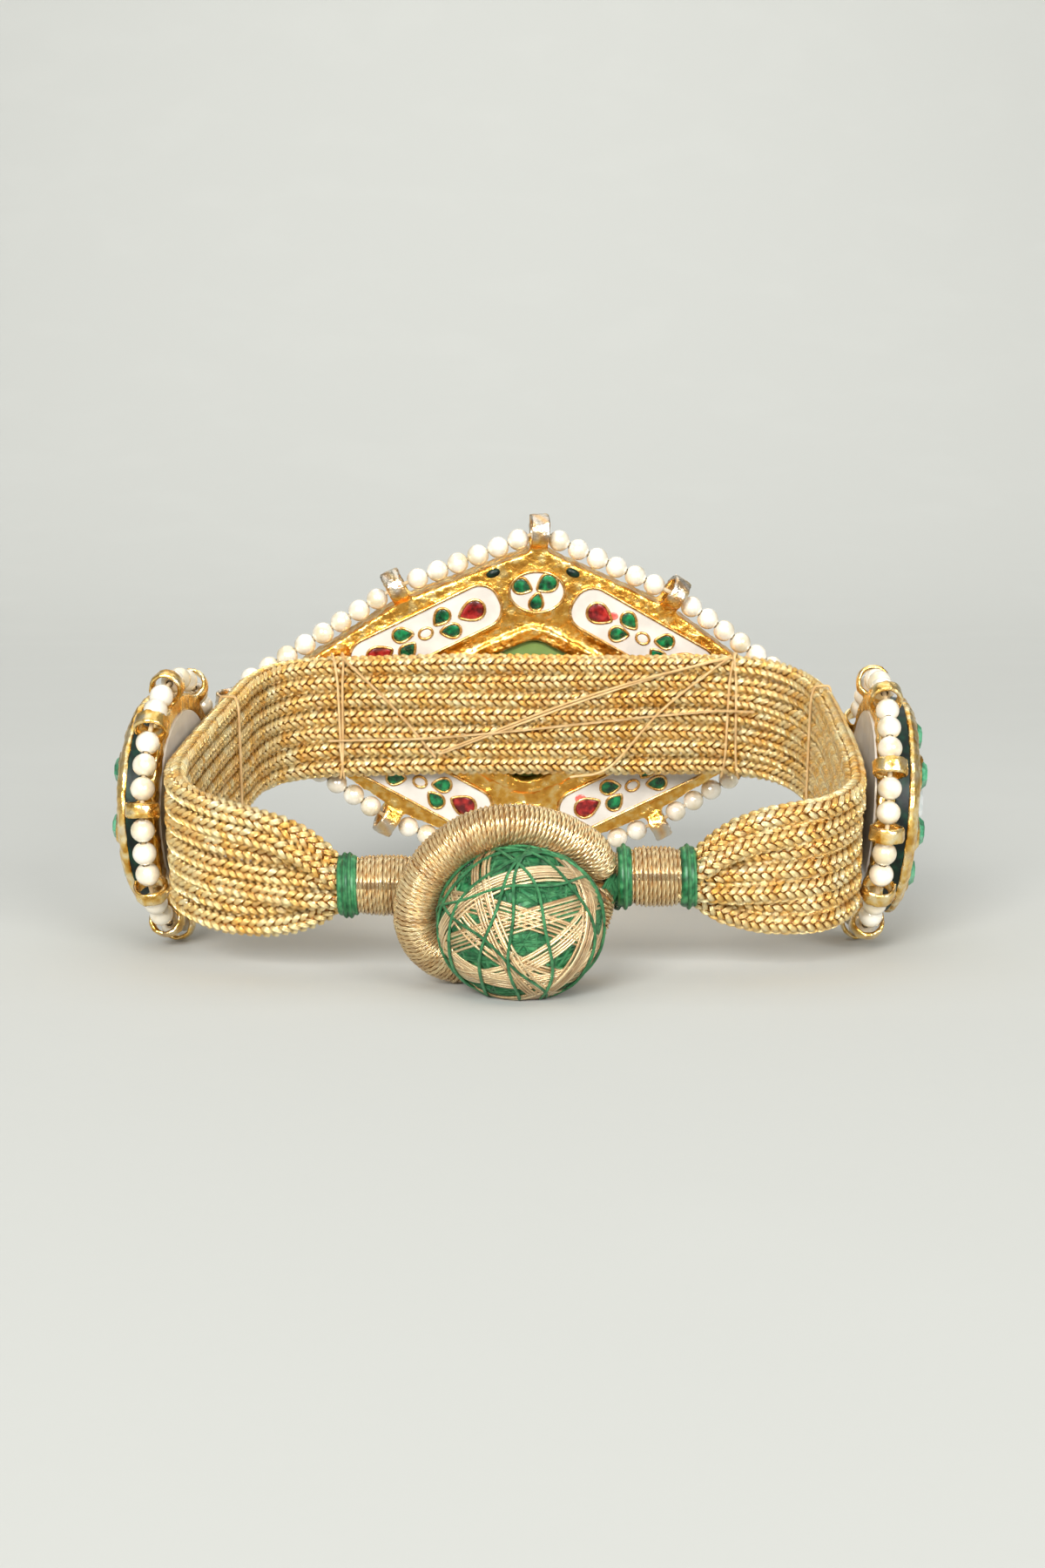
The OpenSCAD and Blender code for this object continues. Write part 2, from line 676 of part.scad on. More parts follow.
band_cord(4);  // band_cord_5
band_cord(5);  // band_cord_6
band_cord(6);  // band_cord_7
left_green_ring();
left_sleeve();
button_shank();
thread_button();
closing_loop();
right_inner_ring();
right_sleeve();
right_outer_ring();
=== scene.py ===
"""Dresses the kundan bracelet: braided zari band, wound clasp, enamelled plaques and pearls."""

import logging
import math
from collections.abc import Callable
from dataclasses import dataclass, field
from enum import Enum

import bpy
import numpy as np
from mathutils import Matrix, Vector


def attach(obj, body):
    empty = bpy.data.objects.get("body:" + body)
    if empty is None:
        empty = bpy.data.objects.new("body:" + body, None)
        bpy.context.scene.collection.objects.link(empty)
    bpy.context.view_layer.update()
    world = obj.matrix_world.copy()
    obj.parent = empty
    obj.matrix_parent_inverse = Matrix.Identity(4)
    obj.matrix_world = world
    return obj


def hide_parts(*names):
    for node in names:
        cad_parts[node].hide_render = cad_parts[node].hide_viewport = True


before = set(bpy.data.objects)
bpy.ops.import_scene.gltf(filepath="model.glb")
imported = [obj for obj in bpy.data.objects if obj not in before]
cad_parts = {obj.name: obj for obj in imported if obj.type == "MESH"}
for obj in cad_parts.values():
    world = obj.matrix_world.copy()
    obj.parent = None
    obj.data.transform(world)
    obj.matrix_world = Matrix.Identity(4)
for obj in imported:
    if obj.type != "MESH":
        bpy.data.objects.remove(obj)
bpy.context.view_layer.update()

MM = 0.001
LOG = logging.getLogger("bracelet")
Row = tuple[float, ...]
Line = tuple[np.ndarray, np.ndarray]
# Sockets of a Mix node by number, since those of its values and of its colours share their names
VALUE_A, VALUE_B, VALUE_OUT = 2, 3, 0
COLOUR_A, COLOUR_B, COLOUR_OUT = 6, 7, 2
# Sockets of a Random Value node that draws a single value, by number for the same reason
LEAST, MOST, DRAWN = 2, 3, 1
# Where a finish's dark, middle and light colours stand on the noise, which seldom leaves this range
DARK_AT, MIDDLE_AT, LIGHT_AT = 0.36, 0.5, 0.66
# Where a braid's core lies across its UV map, clear of the grains, which lie from 0 to 1
CORE_ACROSS = -1.0


def linear(colour: str) -> tuple[float, float, float, float]:
    """Turns an sRGB hex colour to linear light.

    Args:
        colour: six hex digits after a hash sign.

    Returns:
        Red, green, blue and a full alpha.
    """
    parts = [int(colour[i:i + 2], 16) / 255 for i in (1, 3, 5)]
    light = [c / 12.92 if c <= 0.04045 else ((c + 0.055) / 1.055) ** 2.4 for c in parts]
    return (light[0], light[1], light[2], 1.0)


def add_node(tree: bpy.types.NodeTree, kind: str, inputs: dict | None = None, **settings) -> bpy.types.Node:
    """Adds a node with its settings and its input values or links.

    Args:
        tree: the tree that gets the node.
        kind: the node's type name.
        inputs: a value or an output socket for each input, by name or number.
        settings: the node's own properties.

    Returns:
        The new node.
    """
    node = tree.nodes.new(kind)
    for name, value in settings.items():
        setattr(node, name, value)
    for key, value in (inputs or {}).items():
        if isinstance(value, bpy.types.NodeSocket):
            tree.links.new(value, node.inputs[key])
        else:
            node.inputs[key].default_value = value
    return node


class Side(Enum):
    """The side of the band that a round plaque is bound to."""

    LEFT = "left"
    RIGHT = "right"


class Lay(Enum):
    """How the filaments of a thread lie on its UV map, by the wave's name for it."""

    STRAIGHT = "Y"
    SLANTED = "DIAGONAL"


class Winding(Enum):
    """What a part of the clasp is wound with, by the name of its material slot."""

    GREEN = "green_winding"
    GOLD = "gold_winding"


@dataclass(frozen=True)
class Finish:
    """A surface whose colour, gloss and relief wander over it, as on hand work.

    Its patches of colour, its grain and the height of its relief are real sizes in millimetres.
    """

    name: str
    dark: str
    middle: str
    light: str
    patch_mm: float
    grain_mm: float
    relief_mm: float
    roughness: tuple[float, float]
    metallic: float = 0.0
    coat: float = 0.0
    subsurface: float = 0.0
    transmission: float = 0.0
    ior: float = 1.5

    def colour(self, tree: bpy.types.NodeTree, place: bpy.types.NodeSocket) -> bpy.types.NodeSocket:
        """Adds the colour pattern and returns its socket.

        Args:
            tree: the material's tree.
            place: the coordinates that the pattern follows.

        Returns:
            The colour socket.
        """
        patches = add_node(tree, "ShaderNodeTexNoise", {"Vector": place, "Scale": 1 / (self.patch_mm * MM),
                                                        "Detail": 3.0})
        ramp = add_node(tree, "ShaderNodeValToRGB", {"Fac": patches.outputs["Fac"]})
        stops = ramp.color_ramp.elements
        stops[0].position, stops[0].color = DARK_AT, linear(self.dark)
        stops[1].position, stops[1].color = LIGHT_AT, linear(self.light)
        stops.new(MIDDLE_AT).color = linear(self.middle)
        return ramp.outputs["Color"]

    def relief(self, tree: bpy.types.NodeTree, place: bpy.types.NodeSocket) -> bpy.types.NodeSocket:
        """Adds the height pattern for the bump and returns its socket.

        Args:
            tree: the material's tree.
            place: the coordinates that the pattern follows.

        Returns:
            The height socket.
        """
        grain = add_node(tree, "ShaderNodeTexNoise", {"Vector": place, "Scale": 1 / (self.grain_mm * MM),
                                                      "Detail": 4.0})
        return grain.outputs["Fac"]

    def material(self) -> bpy.types.Material:
        """Builds the material.

        Returns:
            The material, with one shader.
        """
        material = bpy.data.materials.new(self.name)
        material.use_nodes = True
        tree = material.node_tree
        tree.nodes.clear()
        place = add_node(tree, "ShaderNodeTexCoord").outputs["Object"]
        height = self.relief(tree, place)
        gloss = add_node(tree, "ShaderNodeMapRange", {"Value": height, "To Min": self.roughness[0],
                                                      "To Max": self.roughness[1]})
        bump = add_node(tree, "ShaderNodeBump", {"Height": height, "Distance": self.relief_mm * MM,
                                                 "Strength": 1.0})
        shader = add_node(tree, "ShaderNodeBsdfPrincipled", {
            "Base Color": self.colour(tree, place), "Roughness": gloss.outputs["Result"],
            "Normal": bump.outputs["Normal"], "Metallic": self.metallic, "Coat Weight": self.coat,
            "Subsurface Weight": self.subsurface, "Transmission Weight": self.transmission,
            "IOR": self.ior})
        shader.inputs["Subsurface Radius"].default_value = (MM, MM, MM)
        add_node(tree, "ShaderNodeOutputMaterial", {"Surface": shader.outputs["BSDF"]})
        return material


@dataclass(frozen=True)
class WornFinish(Finish):
    """Gilding that has worn to silver where the attribute "worn" is high."""

    bare: str = "#D8D2C6"

    def colour(self, tree: bpy.types.NodeTree, place: bpy.types.NodeSocket) -> bpy.types.NodeSocket:
        """Mixes the gilding with the bare metal.

        Args:
            tree: the material's tree.
            place: the coordinates that the pattern follows.

        Returns:
            The colour socket.
        """
        gilt = Finish.colour(self, tree, place)
        worn = add_node(tree, "ShaderNodeAttribute", attribute_name="worn")
        mix = add_node(tree, "ShaderNodeMix", {"Factor": worn.outputs["Fac"], COLOUR_A: gilt,
                                               COLOUR_B: linear(self.bare)}, data_type="RGBA")
        return mix.outputs[COLOUR_OUT]


@dataclass(frozen=True)
class ThreadFinish(Finish):
    """Thread whose filaments follow its own UV map, and whose strands differ in shade.

    The real filaments are too fine to show in the render, so fewer and coarser ones are drawn. A strand's own
    shade has the share strand_share in the colour; the share painted_glints of that shade follows the
    filaments' ridges as painted glints, and slip moves the pattern from strand to strand, so that no two
    match.
    """

    filaments: float = 10.0
    lay: Lay = Lay.STRAIGHT
    strand_share: float = 0.5
    painted_glints: float = 0.0
    slip: float = 7.3

    def colour(self, tree: bpy.types.NodeTree, place: bpy.types.NodeSocket) -> bpy.types.NodeSocket:
        """Mixes the patchy colour with a shade of its own for each strand, and with painted glints along its
        filaments.

        Args:
            tree: the material's tree.
            place: the coordinates that the pattern follows.

        Returns:
            The colour socket.
        """
        patchy = Finish.colour(self, tree, place)
        shade = add_node(tree, "ShaderNodeAttribute", attribute_name="shade")
        # Painted glints: by the share painted_glints the colour follows the filaments' ridges, light on them
        # and dark between
        with_painted_glints = add_node(tree, "ShaderNodeMix", {"Factor": self.painted_glints, VALUE_A: shade.outputs["Fac"],
                                                   VALUE_B: self.relief(tree, place)}, data_type="FLOAT")
        ramp = add_node(tree, "ShaderNodeValToRGB", {"Fac": with_painted_glints.outputs[VALUE_OUT]})
        ramp.color_ramp.elements[0].color = linear(self.dark)
        ramp.color_ramp.elements[1].color = linear(self.light)
        mix = add_node(tree, "ShaderNodeMix", {"Factor": self.strand_share, COLOUR_A: patchy,
                                               COLOUR_B: ramp.outputs["Color"]}, data_type="RGBA")
        return mix.outputs[COLOUR_OUT]

    def relief(self, tree: bpy.types.NodeTree, place: bpy.types.NodeSocket) -> bpy.types.NodeSocket:
        """Adds ridges across the strand, one for each filament.

        Args:
            tree: the material's tree.
            place: not used, since the ridges follow the UV map.

        Returns:
            The height socket.
        """
        own = add_node(tree, "ShaderNodeTexCoord").outputs["UV"]
        shade = add_node(tree, "ShaderNodeAttribute", attribute_name="shade")
        moved = add_node(tree, "ShaderNodeVectorMath",
                         {0: shade.outputs["Vector"], 1: (self.slip, self.slip, 0.0), 2: own},
                         operation="MULTIPLY_ADD")
        wave = add_node(tree, "ShaderNodeTexWave", {"Vector": moved.outputs[0], "Scale": self.filaments,
                                                    "Distortion": 1.2, "Detail": 1.0},
                        bands_direction=self.lay.value)
        return wave.outputs["Fac"]


@dataclass(frozen=True)
class ZariFinish(ThreadFinish):
    """Braided gilt thread whose floss core shows in the gaps, its colour darkened to paint the shade between
    the grains.
    """

    # The core's floss colour, darkened so that the gaps between the grains show painted shade
    core: str = "#8A5A1C"

    def colour(self, tree: bpy.types.NodeTree, place: bpy.types.NodeSocket) -> bpy.types.NodeSocket:
        """Colours the core apart from the grains: its UV map lies left of zero.

        Args:
            tree: the material's tree.
            place: the coordinates that the pattern follows.

        Returns:
            The colour socket.
        """
        gilt = ThreadFinish.colour(self, tree, place)
        own = add_node(tree, "ShaderNodeTexCoord").outputs["UV"]
        across = add_node(tree, "ShaderNodeSeparateXYZ", {0: own})
        is_core = add_node(tree, "ShaderNodeMath", {0: across.outputs[0], 1: CORE_ACROSS / 2},
                           operation="LESS_THAN")
        mix = add_node(tree, "ShaderNodeMix", {"Factor": is_core.outputs[0], COLOUR_A: gilt,
                                               COLOUR_B: linear(self.core)}, data_type="RGBA")
        return mix.outputs[COLOUR_OUT]


# Cast brass, gilded by hand: deep yellow, and worn to silver on the bails
CAST_GOLD = WornFinish("gilt_cast_brass", "#DE9E42", "#F6BC56", "#FFDC90", 1.1, 0.7, 0.2, (0.14, 0.32),
                       metallic=1.0)
# Cream gold rim of the side plaques, burnished over lac
BURNISHED_GOLD = WornFinish("burnished_gilt", "#CF9A40", "#F4CC78", "#FFEDBE", 1.4, 0.9, 0.08, (0.16, 0.34),
                            metallic=1.0)
# Flat gold wire soldered on edge, which holds the enamel colours apart
GOLD_WIRE = Finish("gold_cloison_wire", "#C8924A", "#E2B26A", "#F7D79A", 0.8, 0.6, 0.02, (0.2, 0.36),
                   metallic=1.0)
# Fired white enamel: glassy, milky and a little uneven in thickness
WHITE_ENAMEL = Finish("fired_white_enamel", "#C4BEB5", "#CCC6BD", "#D3CEC6", 3.0, 2.2, 0.012, (0.12, 0.26),
                      coat=0.3, subsurface=0.08)
# Fired dark green enamel over metal: nearly black, and greener where it is thin
GREEN_ENAMEL = Finish("fired_green_enamel", "#010B07", "#011C12", "#043323", 1.2, 1.0, 0.03, (0.3, 0.45),
                      ior=1.36)
# Polished serpentine: pale green with faint clouds and a wet shine
PALE_STONE = Finish("polished_pale_green_stone", "#667E42", "#738B4E", "#82995E", 6.0, 5.0, 0.01,
                    (0.12, 0.24), coat=0.3, subsurface=0.2)
# Uncut flat stones over silver foil: clear and bright, with a hard shine
CLEAR_STONE = Finish("foiled_uncut_stone", "#DCE6E2", "#E9F0EE", "#FAFCFB", 1.0, 0.8, 0.02, (0.03, 0.1),
                     coat=1.0, transmission=0.3, ior=1.6)
# Small green glass stones over foil: the foil brightens the green from below
GREEN_STONE = Finish("foiled_green_stone", "#1F7A52", "#3BA874", "#78D2A2", 1.0, 0.8, 0.02, (0.03, 0.1),
                     coat=1.0, transmission=0.4, ior=1.58)
# Cultured seed pearls: creamy, with a soft lustre from below the skin and a gloss on it
PEARL = Finish("cultured_pearl", "#DACCAC", "#E9DFCA", "#F4EEE0", 2.6, 1.4, 0.003, (0.2, 0.28),
               metallic=0.3, coat=1.0, subsurface=0.2, ior=1.55)
# Gilt metal thread wrapped on a brown gold floss core, braided: bright ridges, and deep brown gaps that are
# partly painted shade
ZARI = ZariFinish("braided_zari", "#F6BE5A", "#FFE088", "#FFF2C2", 2.2, 1.0, 0.06, (0.16, 0.3),
                  metallic=0.72, coat=0.4, filaments=4.0, strand_share=0.6)
# Gold thread wound close on the sleeves and loop: paler than the band, with fine painted glints along its
# filaments
WOUND_GOLD = ThreadFinish("wound_gold_thread", "#A87030", "#FCD082", "#FFF0BE", 2.0, 1.0, 0.06, (0.18, 0.3),
                          metallic=0.68, coat=0.5, filaments=1.6, lay=Lay.SLANTED, strand_share=0.8,
                          painted_glints=0.7)
# Flat gilt strip of the button's bands: bright faces with painted glints, and brown shadows between them
STRIP_GOLD = ThreadFinish("flat_gilt_strip", "#84541E", "#DEAE66", "#FFECBE", 0.9, 0.8, 0.012, (0.14, 0.28),
                          metallic=0.6, coat=0.4, filaments=3.0, strand_share=0.8, painted_glints=0.35)
# Brown floss under the wound gold thread: matt, and darkened to paint the shade in the gaps between its turns
FLOSS_WITH_PAINTED_SHADE = Finish("floss_core_painted_shade", "#5A3A16", "#7C5420", "#9C7032", 0.8, 0.4, 0.04, (0.6, 0.8))
# Green sewing silk: a soft shine along the turns, and dark between them
GREEN_SILK = ThreadFinish("wound_green_silk", "#05421F", "#237D48", "#5AA86C", 0.8, 1.0, 0.03, (0.42, 0.62),
                          filaments=7.0)
# Tan linen thread that holds the band to the plaques: matt and twisted
TAN_THREAD = ThreadFinish("twisted_tan_thread", "#B98B4E", "#D6AC70", "#EBCC96", 1.5, 0.6, 0.02, (0.5, 0.7),
                          filaments=3.0)
# Cotton beading cord: matt, cream and twisted
COTTON = ThreadFinish("twisted_cotton_thread", "#B79B6C", "#D8C29A", "#F0E3C8", 1.5, 0.6, 0.03, (0.6, 0.8),
                      filaments=6.0)
# Fired enamel of the flowers' drops: deep red and glassy, darker where it lies thick
RED_ENAMEL = Finish("fired_red_enamel", "#4A0608", "#7A1012", "#A02420", 0.9, 0.8, 0.02, (0.14, 0.28),
                    coat=0.4)
# Fired enamel of the stray spots: opaque coral and glassy
CORAL_ENAMEL = Finish("fired_coral_enamel", "#D8463E", "#E85E54", "#F07C70", 0.9, 0.8, 0.02, (0.14, 0.28),
                      coat=0.4)
# Fired enamel of the flowers' leaves: clear deep green and glassy, darker where it lies thick
LEAF_ENAMEL = Finish("fired_leaf_enamel", "#022A18", "#05502C", "#128048", 0.9, 0.8, 0.02, (0.14, 0.28),
                     coat=0.4)
# Plain paper under the object and behind it: matt and even, a cool pale grey
FLOOR = Finish("pale_paper", "#B8B9B4", "#B8B9B4", "#B9BAB5", 60.0, 2.0, 0.005, (0.8, 0.9))
# What the turns of each winding are made of, and what lies under them: under gold, a floss whose dark colour
# paints the shade between the turns
TURNS = {Winding.GREEN: GREEN_SILK, Winding.GOLD: WOUND_GOLD}
UNDER_TURNS = {Winding.GREEN: GREEN_SILK, Winding.GOLD: FLOSS_WITH_PAINTED_SHADE}


@dataclass(frozen=True)
class Places:
    """How the band and the centre plaque stand in the frame, in millimetres and degrees, as in the model."""

    tilt: float = 14.3
    lift: float = 17.26
    shift: tuple[float, float] = (-0.442, 2.004)
    centre: Row = (1.6, 29.4, -0.5)
    centre_turn: float = 5.0
    centre_roll: float = 2.9

    @staticmethod
    def turn(axis: str, degrees: float) -> Matrix:
        """A turn about an axis."""
        return Matrix.Rotation(math.radians(degrees), 4, axis)

    def band(self) -> Matrix:
        """From the band's own millimetres to the frame in metres."""
        move = Matrix.Translation(Vector((*self.shift, self.lift)) * MM)
        return move @ self.turn("X", self.tilt) @ Matrix.Scale(MM, 4)

    def centre_plaque(self) -> Matrix:
        """From the drawing of the centre plaque, x right, y up, z to the wrist."""
        return (self.band() @ Matrix.Translation(self.centre) @ self.turn("Z", self.centre_turn)
                @ self.turn("Y", self.centre_roll) @ self.turn("X", 90))


PLACES = Places()


def smooth(rows: list[Row], steps: int) -> np.ndarray:
    """Samples a smooth curve through the rows of a route.

    Args:
        rows: points, each with any further columns such as a radius.
        steps: samples from one row to the next.

    Returns:
        The samples, one to a row.
    """
    spots = np.array(rows, float)
    last = len(spots) - 1
    samples = []
    for i in range(last):
        here, there = spots[i], spots[i + 1]
        before = spots[i - 1] if i else 2 * here - there
        after = spots[i + 2] if i + 2 <= last else 2 * there - here
        for t in np.arange(steps) / steps:
            samples.append(0.5 * (2 * here + (there - before) * t
                                  + (2 * before - 5 * here + 4 * there - after) * t ** 2
                                  + (3 * here - before - 3 * there + after) * t ** 3))
    samples.append(spots[last])
    return np.array(samples)


def ring_faces(rings: int, sides: int) -> list[list[int]]:
    """Faces between neighbouring rings of points.

    Args:
        rings: number of rings.
        sides: points in each ring.

    Returns:
        Four vertex numbers for each face.
    """
    faces = []
    for ring in range(rings - 1):
        for i in range(sides):
            a, b = ring * sides + i, ring * sides + (i + 1) % sides
            faces.append([a, b, b + sides, a + sides])
    return faces


def tube_faces(rings: int, sides: int) -> list[list[int]]:
    """Faces between neighbouring rings of points, and over the first and the last ring.

    Args:
        rings: number of rings.
        sides: points in each ring.

    Returns:
        The vertex numbers of each face.
    """
    first = list(range(sides))
    last = [(rings - 1) * sides + i for i in range(sides)]
    return ring_faces(rings, sides) + [first[::-1], last]


def joined(shapes: list[tuple[list, list, list]]) -> tuple[list, list, list]:
    """Joins shapes into one.

    Args:
        shapes: points, faces and places in the UV map of each shape.

    Returns:
        Points, faces and places in the UV map of the whole.
    """
    points, faces, uvs = [], [], []
    for more_points, more_faces, more_uvs in shapes:
        first = len(points)
        points += more_points
        faces += [[n + first for n in face] for face in more_faces]
        uvs += more_uvs
    return points, faces, uvs


def new_mesh(name: str, points: list, faces: list, uvs: list | None = None) -> bpy.types.Object:
    """Makes a mesh object at the origin, linked to the scene.

    Args:
        name: the object's name.
        points: vertex places.
        faces: vertex numbers of each face.
        uvs: a place in the UV map for each vertex.

    Returns:
        The object.
    """
    mesh = bpy.data.meshes.new(name)
    mesh.from_pydata([tuple(p) for p in points], [], faces)
    if uvs is not None:
        layer = mesh.uv_layers.new(name="UVMap")
        for loop in mesh.loops:
            layer.data[loop.index].uv = uvs[loop.vertex_index]
    mesh.shade_smooth()
    piece = bpy.data.objects.new(name, mesh)
    bpy.context.scene.collection.objects.link(piece)
    return piece


def new_path(name: str, lines: list[Line], closed: bool = False) -> bpy.types.Object:
    """Makes a curve object of one spline for each line.

    Args:
        name: the object's name.
        lines: points in metres and a radius for each, a pair for each spline.
        closed: whether each spline joins its own start.

    Returns:
        The object.
    """
    curve = bpy.data.curves.new(name, "CURVE")
    curve.dimensions = "3D"
    curve.twist_mode = "Z_UP"
    for points, radii in lines:
        spline = curve.splines.new("POLY")
        spline.points.add(len(points) - 1)
        for spot, place, radius in zip(spline.points, points, radii):
            spot.co = (*place, 1.0)
            spot.radius = radius
        spline.use_cyclic_u = closed
    path = bpy.data.objects.new(name, curve)
    bpy.context.scene.collection.objects.link(path)
    return path


class DressTree:
    """A Geometry Nodes tree that dresses a curve or a mesh, with named inputs for its sizes."""

    def __init__(self, name: str, sockets: dict[str, str]) -> None:
        """Starts the tree.

        Args:
            name: the tree's name.
            sockets: the type of each input, by name.
        """
        self.tree = bpy.data.node_groups.new(name, "GeometryNodeTree")
        self.keys = {key: self.tree.interface.new_socket(key, in_out="INPUT", socket_type=kind).identifier
                     for key, kind in sockets.items()}
        self.tree.interface.new_socket("Geometry", in_out="OUTPUT", socket_type="NodeSocketGeometry")
        self.given = add_node(self.tree, "NodeGroupInput").outputs

    def finish_tree(self, geometry: bpy.types.NodeSocket) -> None:
        """Ends the tree in real meshes with their material.

        Args:
            geometry: what the tree has made.
        """
        real = add_node(self.tree, "GeometryNodeRealizeInstances", {"Geometry": geometry})
        dressed = add_node(self.tree, "GeometryNodeSetMaterial",
                           {"Geometry": real.outputs["Geometry"], "Material": self.given["Finish"]})
        add_node(self.tree, "NodeGroupOutput", {"Geometry": dressed.outputs["Geometry"]})

    def build(self, name: str, base: bpy.types.Object, **values) -> bpy.types.Object:
        """Runs the tree on a curve or mesh object and keeps what it gives as a plain mesh.

        Args:
            name: the finished piece's name.
            base: the curve or mesh, which is removed afterwards.
            values: the tree's other inputs, by name.

        Returns:
            The piece, at the origin.
        """
        modifier = base.modifiers.new("dress", "NODES")
        modifier.node_group = self.tree
        for key, value in values.items():
            modifier[self.keys[key]] = value
        graph = bpy.context.evaluated_depsgraph_get()
        mesh = bpy.data.meshes.new_from_object(base.evaluated_get(graph), depsgraph=graph)
        bpy.data.objects.remove(base)
        mesh.name = name
        mesh.shade_smooth()
        piece = bpy.data.objects.new(name, mesh)
        bpy.context.scene.collection.objects.link(piece)
        return piece


class PathRepeater(DressTree):
    """Repeats a unit along a path, scaled by the path's radius."""

    def __init__(self) -> None:
        """Builds the tree once, for every piece that uses it."""
        super().__init__("repeat_along_path", {
            "Path": "NodeSocketGeometry", "Unit": "NodeSocketObject", "Spacing": "NodeSocketFloat",
            "Jitter": "NodeSocketFloat", "Tilt": "NodeSocketVector", "Seed": "NodeSocketInt",
            "Finish": "NodeSocketMaterial"})
        tree, given = self.tree, self.given
        stations = add_node(tree, "GeometryNodeCurveToPoints",
                            {"Curve": given["Path"], "Length": given["Spacing"]}, mode="LENGTH")
        radius = add_node(tree, "GeometryNodeInputRadius")
        low = add_node(tree, "ShaderNodeMath", {0: 1.0, 1: given["Jitter"]}, operation="SUBTRACT")
        high = add_node(tree, "ShaderNodeMath", {0: 1.0, 1: given["Jitter"]}, operation="ADD")
        wobble = add_node(tree, "FunctionNodeRandomValue",
                          {LEAST: low.outputs[0], MOST: high.outputs[0], "Seed": given["Seed"]},
                          data_type="FLOAT")
        size = add_node(tree, "ShaderNodeMath", {0: radius.outputs[0], 1: wobble.outputs[DRAWN]},
                        operation="MULTIPLY")
        unit = add_node(tree, "GeometryNodeObjectInfo", {"Object": given["Unit"], "As Instance": True})
        back = add_node(tree, "ShaderNodeVectorMath", {0: given["Tilt"], "Scale": -1.0}, operation="SCALE")
        sway = add_node(tree, "FunctionNodeRandomValue", {0: back.outputs[0], 1: given["Tilt"],
                                                          "Seed": given["Seed"]}, data_type="FLOAT_VECTOR")
        lean = add_node(tree, "FunctionNodeEulerToRotation", {"Euler": sway.outputs[0]})
        turned = add_node(tree, "FunctionNodeRotateRotation",
                          {"Rotation": stations.outputs["Rotation"], "Rotate By": lean.outputs[0]},
                          rotation_space="LOCAL")
        copies = add_node(tree, "GeometryNodeInstanceOnPoints",
                          {"Points": stations.outputs["Points"], "Instance": unit.outputs["Geometry"],
                           "Rotation": turned.outputs[0], "Scale": size.outputs[0]})
        shade = add_node(tree, "FunctionNodeRandomValue", {"Seed": given["Seed"]}, data_type="FLOAT")
        named = add_node(tree, "GeometryNodeStoreNamedAttribute",
                         {"Geometry": copies.outputs["Instances"], "Name": "shade",
                          "Value": shade.outputs[DRAWN]}, data_type="FLOAT", domain="INSTANCE")
        self.finish_tree(named.outputs["Geometry"])


class PathThread(DressTree):
    """Spins a round thread along each spline of a path, as thick as the path's radius."""

    def __init__(self) -> None:
        """Builds the tree once."""
        super().__init__("thread_along_path", {
            "Path": "NodeSocketGeometry", "Sides": "NodeSocketInt", "Twist Length": "NodeSocketFloat",
            "Seed": "NodeSocketInt", "Finish": "NodeSocketMaterial"})
        tree, given = self.tree, self.given
        line = add_node(tree, "GeometryNodeSplineParameter")
        turns = add_node(tree, "ShaderNodeMath", {0: line.outputs["Length"], 1: given["Twist Length"]},
                         operation="DIVIDE")
        along = add_node(tree, "GeometryNodeStoreNamedAttribute",
                         {"Geometry": given["Path"], "Name": "along", "Value": turns.outputs[0]},
                         data_type="FLOAT", domain="POINT")
        shade = add_node(tree, "FunctionNodeRandomValue", {"Seed": given["Seed"]}, data_type="FLOAT")
        shaded = add_node(tree, "GeometryNodeStoreNamedAttribute",
                          {"Geometry": along.outputs["Geometry"], "Name": "shade",
                           "Value": shade.outputs[DRAWN]}, data_type="FLOAT", domain="CURVE")
        circle = add_node(tree, "GeometryNodeCurvePrimitiveCircle",
                          {"Resolution": given["Sides"], "Radius": 1.0})
        profile = add_node(tree, "GeometryNodeSplineParameter")
        around = add_node(tree, "GeometryNodeStoreNamedAttribute",
                          {"Geometry": circle.outputs["Curve"], "Name": "around",
                           "Value": profile.outputs["Factor"]}, data_type="FLOAT", domain="POINT")
        radius = add_node(tree, "GeometryNodeInputRadius")
        thread = add_node(tree, "GeometryNodeCurveToMesh",
                          {"Curve": shaded.outputs["Geometry"], "Profile Curve": around.outputs["Geometry"],
                           "Scale": radius.outputs[0], "Fill Caps": True})
        u = add_node(tree, "GeometryNodeInputNamedAttribute", {"Name": "along"}, data_type="FLOAT")
        v = add_node(tree, "GeometryNodeInputNamedAttribute", {"Name": "around"}, data_type="FLOAT")
        ply = add_node(tree, "ShaderNodeMath", {0: u.outputs[0], 1: v.outputs[0]}, operation="ADD")
        own = add_node(tree, "ShaderNodeCombineXYZ", {"X": u.outputs[0], "Y": ply.outputs[0]})
        mapped = add_node(tree, "GeometryNodeStoreNamedAttribute",
                          {"Geometry": thread.outputs["Mesh"], "Name": "UVMap", "Value": own.outputs[0]},
                          data_type="FLOAT2", domain="CORNER")
        self.finish_tree(mapped.outputs["Geometry"])


